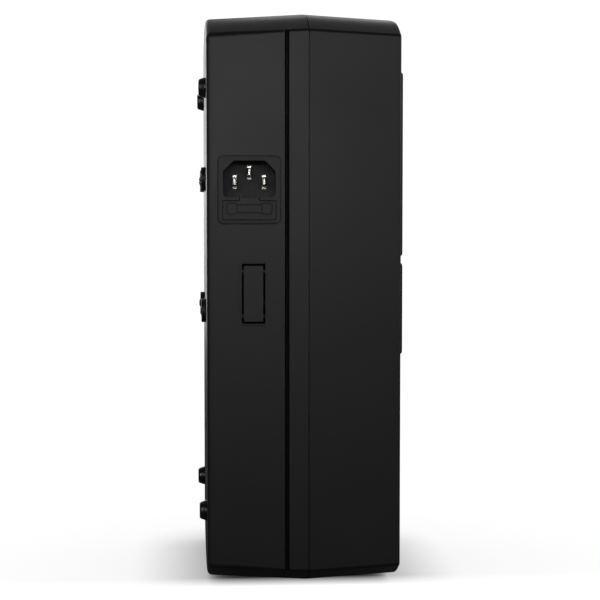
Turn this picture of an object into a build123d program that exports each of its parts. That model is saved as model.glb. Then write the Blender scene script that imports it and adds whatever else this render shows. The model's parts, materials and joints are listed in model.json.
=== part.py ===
# Battery backup unit in a tall two-shell plastic case, standing on its lower end.
# X runs from the rear face (feet) to the front face (display), Y from the mains inlet side
# to the outlet side, and Z up the long axis. The origin is the middle of the whole unit's
# footprint, at the lowest point of its crowned end. Millimetres.
from build123d import *
from math import cos, radians, sin, sqrt, tan
import os

os.makedirs("parts", exist_ok=True)

# case
case_height = 282.6        # crown to crown, in the parting plane
case_width = 150.0         # side wall to side wall, in the parting plane
rear_depth = 47.65         # parting plane to rear face
front_depth = 43.8         # parting plane to front face
wall = 2.8
end_draft = 3.4            # degrees, on the two crowned ends
side_draft = 2.0           # degrees, on the two side walls
crown_radius = 270.0
shoulder_run = 12.0        # slanted shoulder between side wall and crown
shoulder_rise = 6.2
shoulder_radius = 60.0     # blend from shoulder to crown
side_edge_radius = 2.0     # edge between side wall and shoulder
rear_corner_radius = 3.4   # the same edge where it reaches the rear face
rear_edge_radius = 2.2
front_edge_radius = 0.9
rounding_steps = 6         # sections along each end rounding, after the first
seam_gap = 0.4             # shadow gap along the parting line
tongue_inset = 1.4
tongue_height = 3.0
tongue_clearance = 0.15

# Rear shell's side: a plain strip, a groove and a panel that stands a little proud
strip_width = 9.05
groove_width = 2.1
groove_depth = 2.0         # below the strip
groove_floor = 0.2
panel_proud = 0.6
panel_bevel = 0.45

# rubber feet and rear screws
foot_base_radius = 4.9
foot_tip_radius = 3.85
foot_length = 3.6
foot_stem_radius = 2.0
foot_barb_radius = 2.9
foot_barb_height = 2.4
foot_spread_y = 102.0
foot_spread_z = 204.0
washer_radius = 5.8
washer_thickness = 2.3
rear_screw_spacing_y = 65.0
rear_screw_spacing_z = 64.7
rear_screw_rise = 26.4     # centre of the four screws above mid height
screw_head_radius = 2.9
screw_head_height = 1.8
screw_dome = 0.7           # how far the head stands above its washer
shank_radius = 1.5
shank_clearance = 0.2
thread_clearance = 0.05

# mains inlet on the near side
inlet_setback = 27.7       # centre line behind the parting plane
inlet_rise = 52.9          # centre above mid height
flange_width = 28.3
flange_height = 30.7
flange_radius = 2.0
flange_thickness = 1.6
flange_recess = 1.0
flange_gap = 0.6
inlet_depth = 24.0         # housing behind the flange
inlet_wall = 1.2
socket_width = 24.5
socket_height = 17.0
socket_rise = 5.2          # middle of the socket above the flange's middle
socket_chamfer = 5.0
socket_radius = 2.3
socket_depth = 16.5
pin_spacing = 14.0
pin_drop = 1.2             # line and neutral below the socket's middle
earth_rise = 4.4           # earth above line and neutral
pin_width = 2.0
pin_height = 4.0
pin_reach = 13.0           # out of the socket's floor
pin_bevel = 0.6
pin_shoulder_height = 6.6
pin_shoulder_reach = 0.8
tab_length = 6.0
tab_width = 4.8
tab_thickness = 0.8
guide_rib_width = 0.9
guide_rib_height = 1.6
guide_rib_length = 3.0

# fuse drawer
drawer_width = 24.6
drawer_height = 8.7
drawer_drop = 9.45         # middle of the drawer below the flange's middle
drawer_lip = 1.6
drawer_length = 20.0
drawer_clearance = 0.3
drawer_tab_width = 8.9
drawer_tab_height = 1.6
drawer_floor = 1.2
fuse_radius = 2.5
fuse_length = 20.0
fuse_cap_length = 5.0
fuse_cap_wall = 0.3
fuse_inset = 16.0          # fuse centre line behind the drawer's face
fuse_play = 0.3
contact_width = 3.0
contact_height = 4.0
mark_depth = 0.6
mark_line = 0.5
mark_cap = 4.2
mark_bar = 3.2
mark_length = 20.6
mark_cap_height = 4.7
mark_corner = 1.0
mark_rise = 0.7

# knock-out blank
knock_setback = 25.85
knock_rise = 4.4
knock_width = 11.0
knock_height = 28.1
knock_slot = 0.9
knock_bridge = 0.9
knock_bridge_spread = 21.0
knock_rim = 0.8
knock_rim_proud = 0.35
knock_radius = 0.8

# display and keys on the front
plate_width = 126.0
plate_recess = 1.0
plate_proud = 2.2
plate_chamfer = 1.0
plate_fit = 0.2
plate_corner = 3.0
display_height = 88.6
display_rise = 65.3        # middle of the display frame above mid height
window_width = 106.0
window_height = 66.0
window_thickness = 2.0
view_width = 98.0
view_height = 57.0
lcd_depth = 5.0
lcd_border = 3.0
key_plate_height = 44.9
key_plate_drop = 3.65
power_radius = 8.0
power_offset = -42.0
key_width = 18.0
key_height = 10.0
key_radius = 2.5
key_offsets = (-12.0, 12.0, 36.0)
key_clearance = 0.3
key_flange = 1.2
key_proud = 1.0
key_stem_radius = 2.6
key_travel = 0.8
key_free_play = 0.4
panel_board_setback = 10.4 # front of the board behind the front wall's inside
board_thickness = 1.6
switch_size = 6.0
switch_height = 3.5
plunger_radius = 1.7
plunger_height = 1.5
board_screw_radius = 1.3
board_screw_length = 6.0

# outlet side
outlet_rise = 62.0
outlet_height = 26.0
outlet_depth = 22.0
outlet_tongue_width = 21.6
outlet_tongue_height = 14.4
outlet_moat = 2.4
outlet_moat_side = 1.6
outlet_moat_depth = 15.0
isolator_rise = 12.0
isolator_width = 21.0
isolator_height = 30.0
isolator_depth = 16.0
rocker_width = 13.0
rocker_length = 19.0
rocker_tilt = 10.0
rocker_clearance = 0.4
rocker_drop = 3.5           # pivot below the frame's face
rocker_valley = 1.0         # middle of the rocker's face above its pivot
rocker_pin_radius = 1.2
rocker_pin_length = 1.5
vent_count = 7
vent_pitch = 5.0
vent_length = 26.0
vent_width = 1.8
vent_rise = -42.0

# battery pack
cell_radius = 16.0
cell_length = 70.0
cell_pitch = 33.0
cells_across = 4
cells_deep = 2
terminal_radius = 5.0
terminal_height = 2.0
cell_fit = 0.2
holder_grip = 9.0
holder_margin = 1.2
pack_floor = 20.0          # underside of the lower holder above the case's lowest point
pack_setback = 2.0         # pack off the rear wall, filled by the rear pad
pack_lip = 0.4
link_thickness = 0.8
link_width = 9.0
tie_rod_radius = 2.5
management_board_gap = 5.0
pad_height = 52.0
pad_width = 88.0

# inner chassis and main board
chassis_pad_height = 5.0
chassis_pad_radius = 6.0
chassis_thickness = 1.2
chassis_near = -44.0
chassis_far = 47.0
chassis_low = -22.0        # edges measured from mid height
chassis_high = 100.0
board_margin = 2.0
standoff_height = 7.0
standoff_radius = 3.0
standoff_inset = 6.0
nut_radius = 3.6
nut_height = 3.6
core_width = 36.0
core_leg = 9.0
core_window = 7.0
core_depth = 26.0
capacitor_radius = 8.0
capacitor_start = -30.0     # first capacitor, from the middle of the board
capacitor_pitch = 20.0
capacitor_rise = 14.0
capacitor_length = 28.0
relay_width = 15.0
relay_height = 19.0
relay_depth = 15.0
sink_width = 70.0
sink_base = 3.0
sink_fin = 9.0
sink_pitch = 5.0
sink_depth = 25.0
transistor_width = 10.0
transistor_thickness = 4.5
transistor_height = 18.0

# case screws
boss_radius = 4.8
access_radius = 3.3
boss_floor = 6.0           # plastic under each screw head
case_screw_length = 16.0
upper_boss_spread = 100.0
upper_boss_drop = 28.0     # below the top of the case
lower_boss_spread = 44.0
lower_boss_rise = 12.0     # above the bottom of the case
front_boss_radius = 4.0

# positions worked out from the sizes above
rear_reach = rear_depth + foot_length
front_reach = front_depth + plate_proud + key_proud
seam_x = (rear_reach - front_reach) / 2
rear_x = seam_x - rear_depth
front_x = seam_x + front_depth
rear_in = rear_x + wall
front_in = front_x - wall
mid_z = case_height / 2
strip_x = seam_x - strip_width
inlet_z = mid_z + inlet_rise


def write_part(builder, name):
    builder.part.label = name
    export_step(builder.part, f"parts/{name}.step")


def side_half(x, inset=0.0, widen=0.0):
    """Half width of the case at x: the walls lean in by the draft on both sides of the parting."""
    return case_width / 2 - abs(x - seam_x) * tan(radians(side_draft)) - inset + widen


def crown_half(x, inset=0.0):
    """Half height of the case at x, on its crown."""
    return case_height / 2 - abs(x - seam_x) * tan(radians(end_draft)) - inset


def shoulder_points(x, inset=0.0, widen=0.0):
    """Knee (crown meets shoulder) and flat (shoulder meets side wall) of the outline at x."""
    half = side_half(x, inset, widen)
    knee = half - shoulder_run
    radius = crown_radius - inset
    knee_z = crown_half(x, inset) - radius + sqrt(radius**2 - knee**2)
    return half, knee, knee_z, knee_z - shoulder_rise


def case_section(x, inset=0.0, widen=0.0, edge_radius=side_edge_radius):
    """Outline of the case at x, moved in by inset: crowned ends, slanted shoulders, flat sides."""
    half, knee, knee_z, flat_z = shoulder_points(x, inset, widen)
    top = crown_half(x, inset)
    plane = Plane(origin=(x, 0, mid_z), x_dir=(0, 1, 0), z_dir=(1, 0, 0))
    with BuildSketch(plane) as section:
        with BuildLine():
            ThreePointArc((-knee, knee_z), (0, top), (knee, knee_z))
            Polyline((knee, knee_z), (half, flat_z), (half, -flat_z), (knee, -knee_z))
            ThreePointArc((knee, -knee_z), (0, -top), (-knee, -knee_z))
            Polyline((-knee, -knee_z), (-half, -flat_z), (-half, flat_z), (-knee, knee_z))
        make_face()
        knees = section.vertices().filter_by(lambda v: abs(v.Y) > flat_z + shoulder_rise / 2)
        fillet(knees, radius=shoulder_radius - inset)
        flats = section.vertices().filter_by(lambda v: abs(abs(v.X) - half) < 0.01)
        fillet(flats, radius=edge_radius)
    return section.sketch


def end_rounding(x_end, outward, radius, widen=0.0, corner_radius=side_edge_radius):
    """Sections that carry the outline round its last edge, on a quarter circle, to the flat end at x_end."""
    sections = []
    for step in range(rounding_steps + 1):
        angle = radians(90 * step / rounding_steps)
        inset = radius * (1 - cos(angle))
        x = x_end - outward * radius * (1 - sin(angle))
        sections.append(case_section(x, inset=inset, widen=widen, edge_radius=corner_radius - inset))
    return sections


def side_plane(setback, z, side=-1, proud=0.0):
    """Plane on the rear shell's side wall: local x along the wall, y up, z outwards.
    side is -1 on the inlet side and +1 on the outlet side."""
    lean = radians(side_draft)
    x = seam_x - setback
    return Plane(
        origin=(x, side * side_half(x, widen=proud), z),
        x_dir=(-side * cos(lean), -sin(lean), 0),
        z_dir=(-sin(lean), side * cos(lean), 0),
    )


def rear_plane(y, z, depth=0.0):
    """Plane on the rear face at y, z, facing outwards (-X); depth is measured into the case."""
    return Plane(origin=(rear_x + depth, y, z), x_dir=(0, -1, 0), z_dir=(-1, 0, 0))


def front_plane(y, z, depth=0.0):
    """Plane on the front face at y, z, facing outwards (+X); depth is measured into the case."""
    return Plane(origin=(front_x - depth, y, z), x_dir=(0, 1, 0), z_dir=(1, 0, 0))


def socket_outline(width, height, chamfer_size, corner_radius):
    """Mains socket outline: two cut upper corners and two rounded lower ones."""
    with BuildSketch() as outline:
        Rectangle(width, height)
        chamfer(outline.vertices().group_by(Axis.Y)[-1], length=chamfer_size)
        fillet(outline.vertices().group_by(Axis.Y)[0], radius=corner_radius)
    return outline.sketch


foot_spots = [
    (side * foot_spread_y / 2, mid_z + end * foot_spread_z / 2) for side in (-1, 1) for end in (-1, 1)
]
rear_screw_spots = [
    (side * rear_screw_spacing_y / 2, mid_z + rear_screw_rise + end * rear_screw_spacing_z / 2)
    for side in (-1, 1)
    for end in (-1, 1)
]
case_screw_spots = [(side * upper_boss_spread / 2, case_height - upper_boss_drop) for side in (-1, 1)]
case_screw_spots += [(side * lower_boss_spread / 2, lower_boss_rise) for side in (-1, 1)]
inlet_plane = side_plane(inlet_setback, inlet_z, proud=panel_proud - flange_recess)
knock_plane = side_plane(knock_setback, mid_z + knock_rise, proud=panel_proud)
outlet_plane = side_plane(inlet_setback, mid_z + outlet_rise, side=1, proud=panel_proud - flange_recess)
isolator_plane = side_plane(
    inlet_setback, mid_z + isolator_rise, side=1, proud=panel_proud - flange_recess
)
vent_plane = side_plane(inlet_setback, mid_z + vent_rise, side=1, proud=panel_proud)

# Rear shell
rear_envelope = loft(
    sections=[case_section(seam_x), case_section(rear_x, edge_radius=rear_corner_radius)],
    ruled=True,
    mode=Mode.PRIVATE,
)

with BuildPart() as rear_posts:
    # posts that carry the inner chassis, and long bosses for the case screws
    for y, z in rear_screw_spots:
        with BuildSketch(rear_plane(y, z, wall + chassis_pad_height)):
            Circle(chassis_pad_radius)
        extrude(amount=wall + chassis_pad_height)
    for y, z in case_screw_spots:
        with BuildSketch(rear_plane(y, z, rear_depth)):
            Circle(boss_radius)
        extrude(amount=rear_depth)
    # two shelves under the battery pack
    for side in (-1, 1):
        with BuildSketch(Plane.XY) as shelf:
            with Locations(((rear_x + seam_x) / 2, side * cell_pitch)):
                Rectangle(rear_depth - 2 * seam_gap, wall)
        extrude(amount=pack_floor)
inner_posts = rear_posts.part & rear_envelope

with BuildPart() as rear_shell:
    loft(sections=[case_section(seam_x), case_section(strip_x)], ruled=True)
    loft(
        sections=[
            case_section(strip_x, widen=panel_proud),
            case_section(rear_x + rear_edge_radius, widen=panel_proud, edge_radius=rear_corner_radius),
        ],
        ruled=True,
    )
    rounding = end_rounding(rear_x, -1, rear_edge_radius, panel_proud, rear_corner_radius)
    loft(sections=rounding, ruled=True)

    # grooves between strip and panel, on both sides, narrowing to their floor
    groove_setback = strip_width + groove_width / 2
    groove_length = 2 * shoulder_points(seam_x - groove_setback)[3]
    for side in (-1, 1):
        across = side_plane(groove_setback, mid_z, side)
        with BuildSketch(Plane(across.origin, x_dir=across.x_dir, z_dir=-across.y_dir)):
            with BuildLine():
                Polyline((-groove_width / 2, 2 * panel_proud), (groove_width / 2, 2 * panel_proud),
                         (groove_width / 2, 0), (groove_floor / 2, -groove_depth),
                         (-groove_floor / 2, -groove_depth), (-groove_width / 2, 0), close=True)
            make_face()
        extrude(amount=groove_length / 2, both=True, mode=Mode.SUBTRACT)
        # the panel's edge is bevelled along the groove
        with BuildSketch(side_plane(groove_setback, mid_z, side, proud=panel_proud)):
            Rectangle(groove_width + 2 * panel_bevel, groove_length + 2 * panel_bevel)
        extrude(amount=-panel_bevel, taper=45, mode=Mode.SUBTRACT)

    # hollow, posts, and the tongue that enters the front shell
    loft(
        sections=[case_section(seam_x, inset=wall), case_section(rear_in, inset=wall)],
        ruled=True,
        mode=Mode.SUBTRACT,
    )
    add(inner_posts)
    tongue = case_section(seam_x, inset=tongue_inset) - case_section(seam_x, inset=wall)
    extrude(tongue, amount=tongue_height)

    # seats and cut-outs for the mains inlet, the outlet and the isolator
    for plane, width, height in (
        (inlet_plane, flange_width, flange_height),
        (outlet_plane, flange_width, outlet_height),
        (isolator_plane, isolator_width, isolator_height),
    ):
        with BuildSketch(plane):
            RectangleRounded(width + 2 * flange_gap, height + 2 * flange_gap, flange_radius + flange_gap)
        extrude(amount=2 * flange_recess, mode=Mode.SUBTRACT)
        with BuildSketch(plane):
            Rectangle(width - 2 * inlet_wall + 2 * plate_fit, height - 2 * inlet_wall + 2 * plate_fit)
        extrude(amount=-3 * wall, mode=Mode.SUBTRACT)

    # knock-out blank: a slot through the wall, broken by four bridges, inside a low rim
    with BuildSketch(knock_plane.offset(-wall / 2)):
        RectangleRounded(knock_width + 2 * knock_rim, knock_height + 2 * knock_rim, knock_radius + knock_rim)
        Rectangle(knock_width, knock_height, mode=Mode.SUBTRACT)
    extrude(amount=wall / 2 + knock_rim_proud)
    with BuildSketch(knock_plane.offset(-2 * wall)):
        RectangleRounded(knock_width, knock_height, knock_radius)
        Rectangle(knock_width - 2 * knock_slot, knock_height - 2 * knock_slot, mode=Mode.SUBTRACT)
        with GridLocations(knock_width, knock_bridge_spread, 2, 2):
            Rectangle(3 * knock_slot, knock_bridge, mode=Mode.SUBTRACT)
    extrude(amount=3 * wall, mode=Mode.SUBTRACT)

    # vents on the far side
    with BuildSketch(vent_plane):
        with GridLocations(0, vent_pitch, 1, vent_count):
            SlotOverall(vent_length, vent_width)
    extrude(amount=-3 * wall, mode=Mode.SUBTRACT)

    # holes in the rear wall
    for y, z in rear_screw_spots:
        with BuildSketch(rear_plane(y, z)):
            Circle(shank_radius + shank_clearance)
        extrude(amount=-(wall + chassis_pad_height), mode=Mode.SUBTRACT)
    for y, z in foot_spots:
        with BuildSketch(rear_plane(y, z)):
            Circle(foot_stem_radius + thread_clearance)
        extrude(amount=-wall, mode=Mode.SUBTRACT)
    for y, z in case_screw_spots:
        with BuildSketch(rear_plane(y, z)):
            Circle(access_radius)
        extrude(amount=-(rear_depth - boss_floor), mode=Mode.SUBTRACT)
        with BuildSketch(rear_plane(y, z)):
            Circle(shank_radius + shank_clearance)
        extrude(amount=-rear_depth, mode=Mode.SUBTRACT)
write_part(rear_shell, "rear_shell")

# Front shell
display_z = mid_z + display_rise
key_plate_z = mid_z - key_plate_drop
panel_board_x = front_in - panel_board_setback     # front face of the key and display board
panel_board_low = key_plate_z - key_plate_height / 2 + 2 * board_margin
panel_board_high = display_z + display_height / 2 - board_margin
panel_board_width = plate_width - 8 * board_margin
panel_post_inset = standoff_inset
panel_post_spots = [
    (side * (panel_board_width / 2 - panel_post_inset), z)
    for side in (-1, 1)
    for z in (panel_board_low + panel_post_inset, panel_board_high - panel_post_inset)
]
front_seam = seam_x + seam_gap

with BuildPart() as front_posts:
    for y, z in case_screw_spots:
        with BuildSketch(front_plane(y, z, front_depth - seam_gap)):
            Circle(front_boss_radius)
        extrude(amount=front_depth - seam_gap)
    for y, z in panel_post_spots:
        with BuildSketch(front_plane(y, z, front_x - panel_board_x)):
            Circle(standoff_radius)
        extrude(amount=front_x - panel_board_x)
front_envelope = loft(
    sections=[case_section(front_seam), case_section(front_x)], ruled=True, mode=Mode.PRIVATE
)
inner_front_posts = front_posts.part & front_envelope

with BuildPart() as front_shell:
    loft(sections=[case_section(front_seam), case_section(front_x - front_edge_radius)], ruled=True)
    loft(sections=end_rounding(front_x, 1, front_edge_radius), ruled=True)
    loft(
        sections=[case_section(front_seam, inset=wall), case_section(front_in, inset=wall)],
        ruled=True,
        mode=Mode.SUBTRACT,
    )
    add(inner_front_posts)
    # rebate that takes the rear shell's tongue
    rebate = case_section(front_seam, inset=tongue_inset - tongue_clearance)
    rebate -= case_section(front_seam, inset=wall)
    extrude(rebate, amount=tongue_height, mode=Mode.SUBTRACT)
    # seats for the display frame and the key plate
    with BuildSketch(front_plane(0, display_z)):
        RectangleRounded(
            plate_width + 2 * plate_fit, display_height + 2 * plate_fit, plate_corner + plate_fit
        )
    extrude(amount=-plate_recess, mode=Mode.SUBTRACT)
    with BuildSketch(front_plane(0, key_plate_z)):
        RectangleRounded(
            plate_width + 2 * plate_fit, key_plate_height + 2 * plate_fit, plate_corner + plate_fit
        )
    extrude(amount=-plate_recess, mode=Mode.SUBTRACT)
    # openings behind the window and the keys
    with BuildSketch(front_plane(0, display_z)):
        Rectangle(view_width + plate_fit, view_height + plate_fit)
    extrude(amount=-2 * wall, mode=Mode.SUBTRACT)
    with BuildSketch(front_plane(0, key_plate_z)):
        with Locations((power_offset, 0)):
            Circle(power_radius + key_flange + key_clearance)
        with Locations([(y, 0) for y in key_offsets]):
            RectangleRounded(
                key_width + 2 * (key_flange + key_clearance),
                key_height + 2 * (key_flange + key_clearance),
                key_radius + key_flange,
            )
    extrude(amount=-2 * wall, mode=Mode.SUBTRACT)
    # screw holes
    for y, z in case_screw_spots:
        with BuildSketch(Plane(origin=(front_seam, y, z), x_dir=(0, 1, 0), z_dir=(1, 0, 0))):
            Circle(shank_radius + thread_clearance)
        extrude(amount=case_screw_length, mode=Mode.SUBTRACT)
    for y, z in panel_post_spots:
        with BuildSketch(Plane(origin=(panel_board_x, y, z), x_dir=(0, 1, 0), z_dir=(1, 0, 0))):
            Circle(board_screw_radius + thread_clearance)
        extrude(amount=board_screw_length, mode=Mode.SUBTRACT)
write_part(front_shell, "front_shell")

# Feet and screws
with BuildPart() as rubber_feet:
    for y, z in foot_spots:
        with BuildSketch(rear_plane(y, z)):
            Circle(foot_base_radius)
        with BuildSketch(rear_plane(y, z, -foot_length)):
            Circle(foot_tip_radius)
        loft()
        with BuildSketch(rear_plane(y, z)):
            Circle(foot_stem_radius)
        extrude(amount=-wall)
        with BuildSketch(rear_plane(y, z, wall)):
            Circle(foot_barb_radius)
        extrude(amount=-foot_barb_height, taper=20)
    tips = rubber_feet.faces().filter_by(Axis.X).group_by(Axis.X)[0]
    fillet(tips.edges(), radius=(foot_base_radius - foot_tip_radius) / 2)
write_part(rubber_feet, "rubber_feet")

with BuildPart() as rear_washers:
    for y, z in rear_screw_spots:
        with BuildSketch(rear_plane(y, z)):
            Circle(washer_radius)
            Circle(shank_radius + shank_clearance, mode=Mode.SUBTRACT)
        extrude(amount=washer_thickness)
        with BuildSketch(rear_plane(y, z, -washer_thickness)):
            Circle(screw_head_radius + shank_clearance)
        extrude(amount=-screw_head_height, mode=Mode.SUBTRACT)
    rims = rear_washers.faces().filter_by(Axis.X).group_by(Axis.X)[0]
    chamfer(rims.edges().filter_by(lambda e: e.radius > screw_head_radius + 1), length=shank_clearance)
write_part(rear_washers, "rear_washers")

rear_screw_length = wall + chassis_pad_height + chassis_thickness + nut_height
with BuildPart() as rear_screws:
    for y, z in rear_screw_spots:
        seat = washer_thickness - screw_head_height
        with BuildSketch(rear_plane(y, z, -seat)):
            Circle(screw_head_radius)
        extrude(amount=screw_head_height)
        # domed top, then a cross recess in it
        dome_radius = (screw_head_radius**2 + screw_dome**2) / (2 * screw_dome)
        with BuildSketch(Plane(origin=(rear_x - washer_thickness, y, z), x_dir=(-1, 0, 0), z_dir=(0, -1, 0))):
            with BuildLine():
                Line((0, 0), (screw_dome, 0))
                ThreePointArc(
                    (screw_dome, 0),
                    (sqrt(dome_radius**2 - (screw_head_radius / 2) ** 2) - dome_radius + screw_dome,
                     screw_head_radius / 2),
                    (0, screw_head_radius),
                )
                Line((0, screw_head_radius), (0, 0))
            make_face()
        revolve(axis=Axis((rear_x, y, z), (1, 0, 0)))
        with BuildSketch(rear_plane(y, z, -(washer_thickness + screw_dome))):
            Rectangle(screw_head_radius, shank_radius / 3)
            Rectangle(shank_radius / 3, screw_head_radius)
        extrude(amount=-shank_radius, mode=Mode.SUBTRACT)
        with BuildSketch(rear_plane(y, z, -seat)):
            Circle(shank_radius)
        extrude(amount=-(rear_screw_length + seat))
write_part(rear_screws, "rear_screws")

with BuildPart() as case_screws:
    for y, z in case_screw_spots:
        head_x = seam_x - boss_floor
        with BuildSketch(Plane(origin=(head_x, y, z), x_dir=(0, -1, 0), z_dir=(-1, 0, 0))):
            Circle(screw_head_radius)
        extrude(amount=screw_head_height)
        under_head = Plane(origin=(head_x - screw_head_height, y, z), x_dir=(0, -1, 0), z_dir=(-1, 0, 0))
        with BuildSketch(under_head):
            Rectangle(screw_head_radius, shank_radius / 3)
            Rectangle(shank_radius / 3, screw_head_radius)
        extrude(amount=-screw_head_height / 2, mode=Mode.SUBTRACT)
        with BuildSketch(Plane(origin=(head_x, y, z), x_dir=(0, 1, 0), z_dir=(1, 0, 0))):
            Circle(shank_radius)
        extrude(amount=case_screw_length)
write_part(case_screws, "case_screws")

# Mains inlet: housing, pins, fuse drawer and fuse. Built on the inlet plane, which is the
# floor of the recess that the flange sits in.
flange_face = inlet_plane.offset(flange_thickness)
drawer_centre = (0, -drawer_drop)
drawer_bay_width = drawer_width - 2 * inlet_wall + 2 * drawer_clearance
drawer_bay_height = drawer_height - inlet_wall + 2 * drawer_clearance

pin_spots = {
    "line_pin": (-pin_spacing / 2, socket_rise - pin_drop),
    "neutral_pin": (pin_spacing / 2, socket_rise - pin_drop),
    "earth_pin": (0, socket_rise - pin_drop + earth_rise),
}
socket_floor = flange_face.offset(-socket_depth)
contact_spots = [(side * (fuse_length - fuse_cap_length) / 2, -drawer_drop) for side in (-1, 1)]

with BuildPart() as inlet_body:
    with BuildSketch(inlet_plane):
        RectangleRounded(flange_width, flange_height, flange_radius)
    extrude(amount=flange_thickness)
    with BuildSketch(inlet_plane):
        Rectangle(flange_width - 2 * inlet_wall, flange_height - 2 * inlet_wall)
    extrude(amount=-inlet_depth)
    # socket for the mains connector
    with BuildSketch(flange_face) as socket:
        with Locations((0, socket_rise)):
            add(socket_outline(socket_width, socket_height, socket_chamfer, socket_radius))
    extrude(amount=-socket_depth, mode=Mode.SUBTRACT)
    # seat for the drawer's lip and its pry tab, then the bay for its body
    with BuildSketch(flange_face):
        with Locations(drawer_centre):
            Rectangle(drawer_width + 2 * drawer_clearance, drawer_height + 2 * drawer_clearance)
        with Locations((0, -drawer_drop + drawer_height / 2)):
            Rectangle(drawer_tab_width + 2 * drawer_clearance, 2 * drawer_tab_height)
    extrude(amount=-(drawer_lip + drawer_clearance), mode=Mode.SUBTRACT)
    with BuildSketch(flange_face):
        with Locations(drawer_centre):
            Rectangle(drawer_bay_width, drawer_bay_height)
    extrude(amount=-(drawer_length + 2 * drawer_clearance), mode=Mode.SUBTRACT)
    # guide ribs either side of the pry tab
    with BuildSketch(flange_face.offset(-drawer_clearance)):
        with Locations((0, socket_rise - socket_height / 2 + guide_rib_height / 2)):
            with GridLocations(drawer_tab_width - guide_rib_width, 0, 2, 1):
                Rectangle(guide_rib_width, guide_rib_height)
    extrude(amount=-guide_rib_length)
    # slots that hold the pins and the fuse contacts
    with BuildSketch(socket_floor):
        with Locations(list(pin_spots.values())):
            Rectangle(pin_width + 2 * thread_clearance, pin_height + 2 * thread_clearance)
        with Locations(contact_spots):
            Rectangle(contact_width + 2 * thread_clearance, contact_height + 2 * thread_clearance)
    extrude(amount=-inlet_depth, mode=Mode.SUBTRACT)
write_part(inlet_body, "inlet_body")

inlet_back = inlet_plane.offset(-inlet_depth)
inlet_out = Axis(inlet_plane.origin, inlet_plane.z_dir)
embedded = inlet_depth + flange_thickness - socket_depth
for pin_name, spot in pin_spots.items():
    with BuildPart() as pin:
        with BuildSketch(socket_floor):
            with Locations(spot):
                Rectangle(pin_width, pin_height)
        extrude(amount=pin_reach)
        chamfer(pin.faces().sort_by(inlet_out)[-1].edges(), length=pin_bevel)
        with BuildSketch(socket_floor):
            with Locations(spot):
                Rectangle(pin_width, pin_shoulder_height)
        extrude(amount=pin_shoulder_reach)
        with BuildSketch(socket_floor):
            with Locations(spot):
                Rectangle(pin_width, pin_height)
        extrude(amount=-embedded)
        with BuildSketch(inlet_back):
            with Locations(spot):
                Rectangle(tab_thickness, tab_width)
        extrude(amount=-tab_length)
    write_part(pin, pin_name)

with BuildPart() as fuse_contacts:
    contact_gap = fuse_inset + fuse_radius + drawer_clearance
    for spot in contact_spots:
        with BuildSketch(flange_face.offset(-contact_gap)):
            with Locations(spot):
                Rectangle(contact_width, contact_height)
        extrude(amount=-(inlet_depth + flange_thickness - contact_gap))
        with BuildSketch(inlet_back):
            with Locations(spot):
                Rectangle(tab_thickness, contact_height)
        extrude(amount=-tab_length)
write_part(fuse_contacts, "fuse_contacts")

with BuildSketch() as mark_outline:
    with GridLocations(mark_length - mark_cap, 0, 2, 1):
        RectangleRounded(mark_cap + 2 * mark_line, mark_cap_height + 2 * mark_line, mark_corner + mark_line)
    Rectangle(mark_length - 2 * mark_cap, mark_bar + 2 * mark_line)
    Rectangle(mark_length - 2 * (mark_cap + mark_line), mark_bar, mode=Mode.SUBTRACT)
    with GridLocations(mark_length - mark_cap, 0, 2, 1):
        RectangleRounded(mark_cap, mark_cap_height, mark_corner, mode=Mode.SUBTRACT)

drawer_body_height = drawer_height - inlet_wall
with BuildPart() as fuse_drawer:
    with BuildSketch(flange_face):
        with Locations(drawer_centre):
            Rectangle(drawer_width, drawer_height)
        with Locations((0, -drawer_drop + drawer_height / 2)):
            Rectangle(drawer_tab_width, 2 * drawer_tab_height)
    extrude(amount=-drawer_lip)
    with BuildSketch(flange_face):
        with Locations(drawer_centre):
            Rectangle(drawer_width - 2 * inlet_wall, drawer_body_height)
    extrude(amount=-drawer_length)
    # trough for the fuse, open upwards and at the back, where the contacts reach in
    fuse_plane = flange_face.offset(-fuse_inset)
    trough = fuse_radius + fuse_play
    with BuildSketch(fuse_plane.offset(trough)):
        with Locations((0, -drawer_drop + drawer_height / 2 - trough / 2)):
            Rectangle(fuse_length + 2 * fuse_play, drawer_height + trough)
    extrude(amount=-drawer_length, mode=Mode.SUBTRACT)
    # low floor that keeps the fuse in from below
    with BuildSketch(fuse_plane.offset(trough)):
        with Locations((0, -drawer_drop - drawer_body_height / 2 + drawer_floor / 2)):
            Rectangle(drawer_width - 2 * inlet_wall, drawer_floor)
    extrude(amount=-(drawer_length - fuse_inset + trough))
    # engraved outline of a fuse on the face
    with BuildSketch(flange_face):
        with Locations((0, -drawer_drop + mark_rise)):
            add(mark_outline.sketch)
    extrude(amount=-mark_depth, mode=Mode.SUBTRACT)
write_part(fuse_drawer, "fuse_drawer")

with BuildPart() as mains_fuse:
    fuse_start = Plane(
        origin=fuse_plane.from_local_coords((-fuse_length / 2 + fuse_cap_wall, -drawer_drop, 0)),
        z_dir=fuse_plane.x_dir,
    )
    with BuildSketch(fuse_start):
        Circle(fuse_radius - fuse_cap_wall)
    extrude(amount=fuse_length - 2 * fuse_cap_wall)
write_part(mains_fuse, "mains_fuse")

with BuildPart() as fuse_caps:
    for side in (-1, 1):
        cap_plane = Plane(
            origin=fuse_plane.from_local_coords((side * fuse_length / 2, -drawer_drop, 0)),
            z_dir=fuse_plane.x_dir * -side,
        )
        with BuildSketch(cap_plane):
            Circle(fuse_radius)
        extrude(amount=fuse_cap_length)
        with BuildSketch(cap_plane.offset(fuse_cap_wall)):
            Circle(fuse_radius - fuse_cap_wall)
        extrude(amount=fuse_cap_length, mode=Mode.SUBTRACT)
write_part(fuse_caps, "fuse_caps")

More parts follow.
